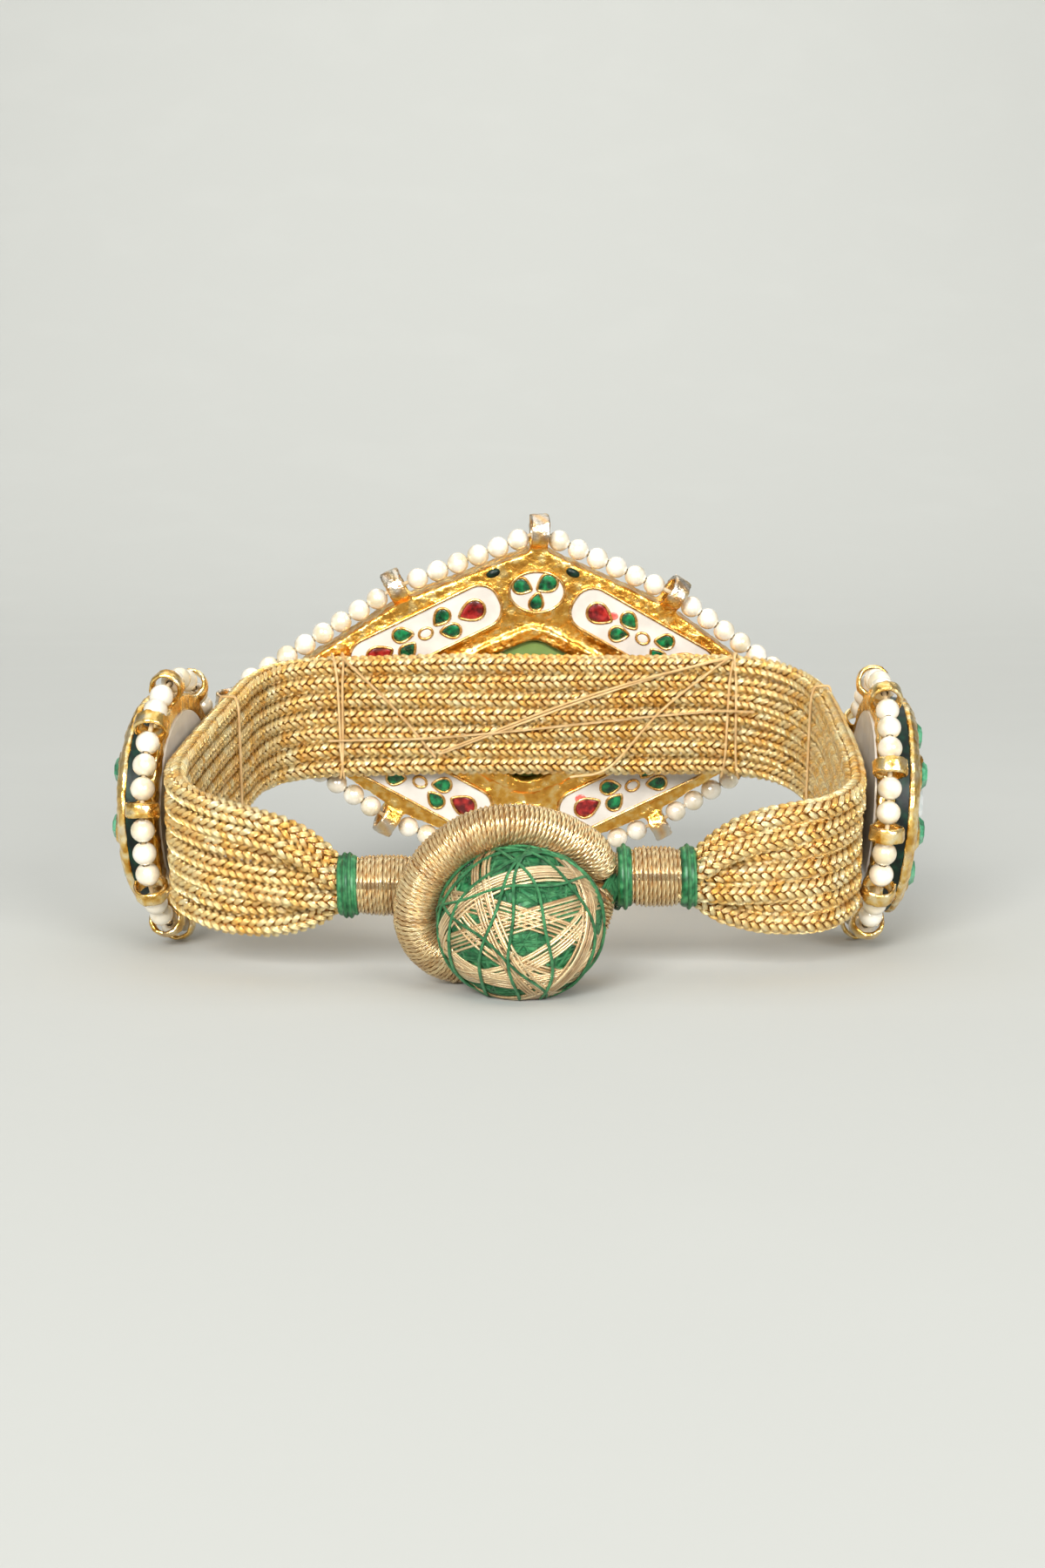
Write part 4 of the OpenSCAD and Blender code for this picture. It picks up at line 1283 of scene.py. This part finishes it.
@dataclass
class SewingThreads:
    """Tan threads that bind the band to the plaques and cross its inner face."""

    shop: Workshop
    band: Band
    thread_r: float = 0.16
    # Distance of the threads from the band's middle, with what each crossing lies over the one before it
    inner: float = 1.25
    crossing_lift: float = 0.12
    crossing_steps: int = 8
    # Depth past which the band's route is on its far side
    far_from: float = 20.0
    # A binding: half its height, its steps, and the power that squares its round
    half_band: float = 7.95
    binding_steps: int = 40
    binding_square: float = 0.35
    # Columns: across, height, on the far side's inner face
    crossings: list[list[Row]] = field(default_factory=lambda: [
        [(-21.5, 8.1), (-15.0, 1.1), (-10.2, -5.1)],
        [(25.9, 8.1), (8.1, 2.3), (-9.7, -4.6)],
        [(26.2, 8.0), (8.6, 2.9), (-9.4, -4.2)],
        [(-23.3, -2.6), (-10.2, -2.4), (11.3, -0.3), (29.0, 1.5)],
        [(25.9, 8.1), (17.8, 1.1), (11.4, -6.3), (6.5, -7.6)]])
    # Columns: across, depth, outward across, outward depth, lean of the binding
    bindings: list[Row] = field(default_factory=lambda: [
        (-21.8, 25.6, -0.2, 1.0, 0.4), (-22.2, 25.6, -0.2, 1.0, -0.5), (26.0, 25.9, 0.1, 1.0, 0.6),
        (27.2, 25.6, 0.25, 1.0, -0.5), (35.9, 13.7, 1.0, 0.1, 0.3), (-33.7, 9.0, -1.0, 0.1, 0.5)])

    def depth(self, x: float) -> float:
        """The depth of the far side's middle at a place across."""
        far = np.array([place for place in self.band.route if place[1] > self.far_from])
        return float(np.interp(x, far[:, 0], far[:, 1]))

    def squared(self, share: float) -> float:
        """A sine or cosine pushed out towards 1 or -1, which turns a round into a rounded oblong."""
        return abs(share) ** self.binding_square * math.copysign(1.0, share)

    def crossing(self, number: int) -> Line:
        """A thread across the band's inner face.

        Args:
            number: its place in the list.

        Returns:
            Points and radii in metres.
        """
        place = PLACES.band()
        line = smooth(self.crossings[number], self.crossing_steps)
        lift = self.inner + self.crossing_lift * number
        points = [place @ Vector((x, self.depth(x) - lift, z)) for x, z in line]
        return np.array(points), np.full(len(points), self.thread_r * MM)

    def binding(self, row: Row) -> Line:
        """A thread round the band.

        Args:
            row: across, depth, outward across, outward depth and lean.

        Returns:
            Points and radii in metres.
        """
        x, y, out_x, out_y, lean = row
        place = PLACES.band()
        out = Vector((out_x, out_y, 0)).normalized()
        way = Vector((out.y, -out.x, 0))
        points = []
        for i in range(self.binding_steps):
            a = 2 * math.pi * i / self.binding_steps
            reach = self.squared(math.cos(a))
            spot = Vector((x, y, 0)) + out * reach * self.inner + way * lean * math.sin(a)
            spot.z = self.squared(math.sin(a)) * self.half_band
            points.append(place @ spot)
        return np.array(points), np.full(self.binding_steps, self.thread_r * MM)

    def build(self) -> None:
        """Spins the threads."""
        crossings = [self.crossing(number) for number in range(len(self.crossings))]
        bindings = [self.binding(row) for row in self.bindings]
        self.shop.spin("crossing_threads", crossings, False, TAN_THREAD, "stringing_thread")
        self.shop.spin("binding_threads", bindings, True, TAN_THREAD, "stringing_thread")


@dataclass(frozen=True)
class Petal:
    """A petal of an enamelled flower in millimetres, or a round spot where it has no turn."""

    along: float
    across: float
    half_long: float
    half_wide: float
    turn: float | None = None


@dataclass
class CentrePlaque:
    """The cast plaque with its enamelled back, the stone and the pearl edge."""

    shop: Workshop
    pearl_seed: int = 7
    panel_centre: tuple[float, float] = (13.5, 9.75)
    panel_slope: float = 28.3
    panel_half: tuple[float, float] = (9.9, 2.7)
    panel_corner: float = 2.3
    disc_half: tuple[float, float] = (3.35, 2.55)
    disc_up: float = 15.4
    # Height of the enamel's surface on the drawing of the plaque
    surface: float = 0.1
    leaves: list[Petal] = field(default_factory=lambda: [
        Petal(2.6, 1.0, 1.15, 0.78, 205), Petal(2.9, -1.1, 1.2, 0.76, 160),
        Petal(-2.6, 1.1, 1.2, 0.76, -20), Petal(-2.9, -1.0, 1.15, 0.78, 25)])
    drops: list[Petal] = field(default_factory=lambda: [
        Petal(6.3, 0, 1.6, 1.05, 180), Petal(-6.3, 0, 1.6, 1.05, 0)])
    eye: Petal = Petal(0, 0, 0.82, 0.64)
    disc_petals: list[Petal] = field(default_factory=lambda: [
        Petal(-1.65, 0.6, 1.15, 0.85, -20), Petal(1.35, 1.0, 1.3, 0.95, 215),
        Petal(0.2, -1.3, 1.1, 0.72, 80)])
    disc_flower: tuple[float, float] = (-0.2, 15.45)
    # How a petal's width narrows to its point: the shares of one wave and of two waves round it
    petal_pinch: tuple[float, float] = (0.42, 0.1)
    # Stray spots. Columns: across, up, half length, half width
    coral_spots: list[Row] = field(default_factory=lambda: [(9.6, 12.5, 0.7, 0.5), (7.0, -11.7, 0.75, 0.6)])
    green_spots: list[Row] = field(default_factory=lambda: [
        (-5.5, 17.6, 0.9, 0.55), (4.3, 17.9, 0.9, 0.55)])
    green_spot_turn: float = 25.0
    # Rise of each kind of dome over the enamel
    petal_rise: float = 0.08
    eye_rise: float = 0.1
    coral_rise: float = 0.06
    green_spot_rise: float = 0.3
    # A dome's rings as shares of its outline, the depth of its foot and the height of its edge
    dome_rings: Row = (1.0, 0.94, 0.66, 0.33)
    dome_foot: float = -0.05
    dome_edge: float = 0.03
    # Wires: their radius and height, and their size over what they go round
    wire: float = 0.18
    wire_height: float = 0.06
    petal_wire: float = 1.06
    disc_wire_height: float = 0.03
    disc_wire: float = 1.05
    rim_wire: float = 0.2
    rim_gap: float = 0.1
    disc_rim: float = 1.03
    disc_rim_steps: int = 36
    corner_steps: int = 7
    # Planes inside the bails. Columns: share across, share up, distance from the middle
    bail_planes: list[Row] = field(default_factory=lambda: [(0.398, 0.917, 20.8), (0.611, 0.792, 22.6)])
    # Wear starts this far inside those planes, is full after a width, and has a least share and a rippled one
    wear_margin: float = 0.7
    wear_width: float = 0.8
    wear_least: float = 0.35
    wear_ripple: float = 0.6
    # Radians a metre of that ripple, across, deep and up
    ripple: Row = (3100.0, 1700.0, 2600.0)

    def outline(self, petal: Petal, turn: float, middle: tuple[float, float], height: float = 0.0,
                share: float = 1.0, sides: int = 24) -> list[Vector]:
        """The outline of a petal, pointed at one end, or of a round spot.

        Args:
            petal: the petal.
            turn: the whole motif's turn in degrees.
            middle: the motif's place on the plaque.
            height: height over the enamel in millimetres.
            share: size of the line, as a share of the petal.
            sides: number of points.

        Returns:
            Points in the frame.
        """
        place = (PLACES.centre_plaque() @ Matrix.Translation((middle[0], middle[1], self.surface))
                 @ PLACES.turn("Z", turn) @ Matrix.Translation((petal.along, petal.across, 0))
                 @ PLACES.turn("Z", petal.turn or 0))
        one, two = self.petal_pinch
        points = []
        for i in range(sides):
            a = 2 * math.pi * i / sides
            pinch = 1.0 if petal.turn is None else 1 - one * math.cos(a) - two * math.cos(2 * a)
            points.append(place @ Vector((petal.half_long * share * math.cos(a),
                                          petal.half_wide * share * math.sin(a) * pinch, height)))
        return points

    def dome(self, petal: Petal, turn: float, middle: tuple[float, float],
             rise: float) -> tuple[list, list]:
        """A domed petal on the enamel.

        Args:
            petal: the petal.
            turn: the whole motif's turn in degrees.
            middle: the motif's place on the plaque.
            rise: height of the dome in millimetres.

        Returns:
            Points in the frame, and faces.
        """
        points = []
        for share in self.dome_rings:
            height = self.dome_foot if share == 1.0 else self.dome_edge + rise * (1 - share ** 2)
            points += self.outline(petal, turn, middle, height, share)
        sides = len(points) // len(self.dome_rings)
        points += self.outline(petal, turn, middle, self.dome_edge + rise, share=0.0, sides=1)
        faces = ring_faces(len(self.dome_rings), sides)
        top = len(points) - 1
        for i in range(sides):
            faces.append([top - sides + i, top - sides + (i + 1) % sides, top])
        faces.append(list(range(sides))[::-1])
        return points, faces

    def panel_rim(self, sx: int, sy: int) -> list[Vector]:
        """The raised edge of a white panel.

        Args:
            sx: 1 for a panel on the right, -1 on the left.
            sy: 1 for an upper panel, -1 for a lower one.

        Returns:
            Points in the frame.
        """
        place = (PLACES.centre_plaque()
                 @ Matrix.Translation((sx * self.panel_centre[0], sy * self.panel_centre[1], self.surface))
                 @ PLACES.turn("Z", -sx * sy * self.panel_slope))
        corner_x, corner_y = (half - self.panel_corner for half in self.panel_half)
        radius = self.panel_corner + self.rim_gap
        points = []
        for corner, (cx, cy) in enumerate(((1, 1), (-1, 1), (-1, -1), (1, -1))):
            for step in range(self.corner_steps):
                a = math.pi / 2 * (corner + step / (self.corner_steps - 1))
                points.append(place @ Vector((cx * corner_x + radius * math.cos(a),
                                              cy * corner_y + radius * math.sin(a), self.wire_height)))
        return points

    def motif(self, name: str, shapes: list[tuple[list, list]], finish: Finish, slot: str) -> None:
        """Joins shapes into one piece and dresses it.

        Args:
            name: the piece's name.
            shapes: points and faces of each shape.
            finish: the piece's finish.
            slot: its material slot.
        """
        points, faces, _ = joined([(*shape, []) for shape in shapes])
        piece = new_mesh(name, points, faces)
        piece.data.materials.append(self.shop.dye(finish))
        self.shop.keep(piece, slot)

    def worn(self, places: np.ndarray) -> np.ndarray:
        """How worn the casting is: the bails stand out past the pearls and are rubbed bare.

        Args:
            places: points in metres, one to a row.

        Returns:
            A share from 0 to 1 for each row.
        """
        inverse = np.array(PLACES.centre_plaque().inverted())
        flat = np.abs(places @ inverse[:3, :3].T + inverse[:3, 3])
        out = np.max([flat[:, 0] * x + flat[:, 1] * y - far for x, y, far in self.bail_planes], axis=0)
        ripple = 0.5 + 0.5 * np.sin(places @ np.array(self.ripple))
        share = np.clip((out + self.wear_margin) / self.wear_width, 0, 1)
        return share * (self.wear_least + self.wear_ripple * ripple)

    def build(self) -> None:
        """Dresses the plaque's nodes and lays the enamelled flowers."""
        self.shop.cast("centre_casting", "centre_frame", CAST_GOLD, self.worn)
        self.shop.dress("centre_stone", PALE_STONE)
        self.shop.fill_out("centre_pearl_string", "centre_pearls", PEARL, self.pearl_seed)
        self.shop.dress("centre_pearl_thread", COTTON)
        for where in ("upper_left", "upper_right", "lower_left", "lower_right"):
            self.shop.dress("enamel_panel_" + where, WHITE_ENAMEL)
            self.shop.dress("front_stones_" + where, CLEAR_STONE)
        for where in ("top", "bottom", "left", "right"):
            self.shop.dress("enamel_disc_" + where, WHITE_ENAMEL)
            self.shop.dress("corner_stone_" + where, GREEN_STONE)
        self.lay_flowers()
        self.lay_spots()

    def lay_flowers(self) -> None:
        """Lays a spray of petals on each white panel and on the upper and lower disc, all with wires."""
        green, red, eyes, wires = [], [], [], []
        sides = [(sx, sy) for sx in (-1, 1) for sy in (-1, 1)]
        for sx, sy in sides:
            middle = (sx * self.panel_centre[0], sy * self.panel_centre[1])
            turn = -sx * sy * self.panel_slope
            green += [self.dome(petal, turn, middle, self.petal_rise) for petal in self.leaves]
            red += [self.dome(petal, turn, middle, self.petal_rise) for petal in self.drops]
            eyes.append(self.dome(self.eye, turn, middle, self.eye_rise))
            wires += [self.outline(petal, turn, middle, self.wire_height, self.petal_wire)
                      for petal in self.leaves + self.drops + [self.eye]]
        rims = [self.panel_rim(sx, sy) for sx, sy in sides]
        for sy in (-1, 1):
            rims.append(self.outline(Petal(0, 0, *self.disc_half), 0, (0, sy * self.disc_up),
                                     self.wire_height, self.disc_rim, self.disc_rim_steps))
            middle = (self.disc_flower[0], sy * self.disc_flower[1])
            green += [self.dome(petal, 0, middle, self.petal_rise) for petal in self.disc_petals]
            wires += [self.outline(petal, 0, middle, self.disc_wire_height, self.disc_wire)
                      for petal in self.disc_petals]
        lines = [(np.array(line), np.full(len(line), self.wire * MM)) for line in wires]
        lines += [(np.array(line), np.full(len(line), self.rim_wire * MM)) for line in rims]
        self.shop.spin("cloison_wires", lines, True, GOLD_WIRE, "gold")
        self.motif("flower_leaves", green, LEAF_ENAMEL, "green_enamel")
        self.motif("flower_drops", red, RED_ENAMEL, "white_enamel")
        self.motif("flower_dots", eyes, WHITE_ENAMEL, "white_enamel")

    def lay_spots(self) -> None:
        """Lays the stray spots of coral by the flowers and of dark green by the upper disc."""
        coral = [self.dome(Petal(0, 0, wide, high), 0, (x, y), self.coral_rise)
                 for x, y, wide, high in self.coral_spots]
        dark = [self.dome(Petal(0, 0, wide, high), -math.copysign(self.green_spot_turn, x), (x, y),
                          self.green_spot_rise) for x, y, wide, high in self.green_spots]
        self.motif("coral_spots", coral, CORAL_ENAMEL, "white_enamel")
        self.motif("dark_green_spots", dark, GREEN_ENAMEL, "green_enamel")


@dataclass
class SidePlaque:
    """A round plaque with a pearl edge."""

    shop: Workshop
    side: Side
    pearl_seed: int = 8
    # Radians a metre of the two waves that make the worn patches, and how much of them is bare
    patch_waves: tuple[Row, Row] = ((900.0, 1500.0, 1100.0), (-700.0, 800.0, 1900.0))
    patch_from: float = 0.35
    patch_share: float = 0.6

    def worn(self, places: np.ndarray) -> np.ndarray:
        """How worn the casting is: patches all over the rim and the bails.

        Args:
            places: points in metres, one to a row.

        Returns:
            A share from 0 to 1 for each row.
        """
        first, second = (np.sin(places @ np.array(wave)) for wave in self.patch_waves)
        return np.clip(first * second - self.patch_from, 0, 1) * self.patch_share

    def build(self) -> None:
        """Dresses the plaque's nodes."""
        where = self.side.value
        finishes = {"back_enamel": WHITE_ENAMEL, "wall_enamel": GREEN_ENAMEL, "centre_stone": CLEAR_STONE,
                    "petal_stones": GREEN_STONE, "pearl_thread": COTTON}
        for part, finish in finishes.items():
            self.shop.dress(f"{where}_{part}", finish)
        self.shop.fill_out(f"{where}_pearl_string", f"{where}_pearls", PEARL, self.pearl_seed)
        self.shop.cast(f"{where}_casting", f"{where}_plaque_frame", BURNISHED_GOLD, self.worn)


@dataclass(frozen=True)
class Lamp:
    """A soft square light, with its place, its width and the place that it faces in metres, and its watts."""

    name: str
    place: Row
    size: float
    power: float
    aim: Row = (0.0, 0.0, 0.02)


@dataclass
class Studio:
    """The floor, the light and the camera."""

    shop: Workshop
    camera_mm: Row = (0.158, -277.196, 47.6)
    pitch: float = 6.09
    lens: float = 56.6
    near: float = 0.01
    # The floor in metres: half its width, where its sweep starts, the sweep's radius and the wall's top
    floor_half: float = 4.0
    sweep_start: float = 0.8
    sweep_radius: float = 1.4
    sweep_steps: int = 16
    wall_top: float = 4.0
    room_colour: str = "#F4F4F0"
    room_strength: float = 0.42
    lamps: list[Lamp] = field(default_factory=lambda: [
        Lamp("key_light", (-0.35, -1.25, 0.55), 0.5, 24.0),
        Lamp("fill_light", (0.65, -1.2, 0.45), 0.5, 13.0),
        Lamp("top_light", (0.0, -0.1, 1.3), 1.6, 7.5),
        Lamp("wall_light", (0.0, 1.1, 1.3), 1.4, 14.5, (0.0, 1.9, 0.35))])

    def lay_floor(self) -> None:
        """Lays the paper that sweeps up into a wall behind the bracelet."""
        half, start, radius = self.floor_half, self.sweep_start, self.sweep_radius
        profile = [(-half, 0.0), (start, 0.0)]
        for i in range(1, self.sweep_steps + 1):
            a = math.pi / 2 * i / self.sweep_steps
            profile.append((start + radius * math.sin(a), radius - radius * math.cos(a)))
        profile.append((start + radius, self.wall_top))
        points = [(x, y, z) for y, z in profile for x in (-half, half)]
        faces = [[2 * i, 2 * i + 1, 2 * i + 3, 2 * i + 2] for i in range(len(profile) - 1)]
        floor = new_mesh("floor", points, faces)
        floor.data.materials.append(self.shop.dye(FLOOR))

    def hang_lamp(self, lamp: Lamp) -> None:
        """Adds a lamp.

        Args:
            lamp: the lamp.
        """
        data = bpy.data.lights.new(lamp.name, "AREA")
        data.size = lamp.size
        data.energy = lamp.power
        light = bpy.data.objects.new(lamp.name, data)
        light.location = lamp.place
        light.rotation_euler = (Vector(lamp.aim) - Vector(lamp.place)).to_track_quat("-Z", "Y").to_euler()
        bpy.context.scene.collection.objects.link(light)

    def light_room(self) -> None:
        """Lights the room evenly, shows hex colours as they are, and hangs the lamps."""
        world = bpy.data.worlds.new("soft_room")
        world.use_nodes = True
        room = world.node_tree.nodes["Background"].inputs
        room["Color"].default_value = linear(self.room_colour)
        room["Strength"].default_value = self.room_strength
        bpy.context.scene.world = world
        bpy.context.scene.view_settings.view_transform = "Standard"
        for lamp in self.lamps:
            self.hang_lamp(lamp)

    def set_camera(self) -> None:
        """Sets the camera at the photograph's angle."""
        data = bpy.data.cameras.new("camera")
        data.lens = self.lens
        data.clip_start = self.near
        camera = bpy.data.objects.new("camera", data)
        camera.location = Vector(self.camera_mm) * MM
        camera.rotation_euler = (math.radians(90 - self.pitch), 0, 0)
        bpy.context.scene.collection.objects.link(camera)
        bpy.context.scene.camera = camera

    def build(self) -> None:
        """Sets the floor that sweeps up behind, the four soft lights and the camera."""
        self.lay_floor()
        self.light_room()
        self.set_camera()


def main() -> None:
    """Builds the studio and each sub-assembly in order."""
    logging.basicConfig(level=logging.INFO, format="%(name)s: %(message)s")
    shop = Workshop()
    Studio(shop).build()
    CentrePlaque(shop).build()
    for side in Side:
        SidePlaque(shop, side).build()
    band = Band(shop)
    band.build()
    SewingThreads(shop, band).build()
    Clasp(shop).build()


if __name__ == "__main__":
    main()
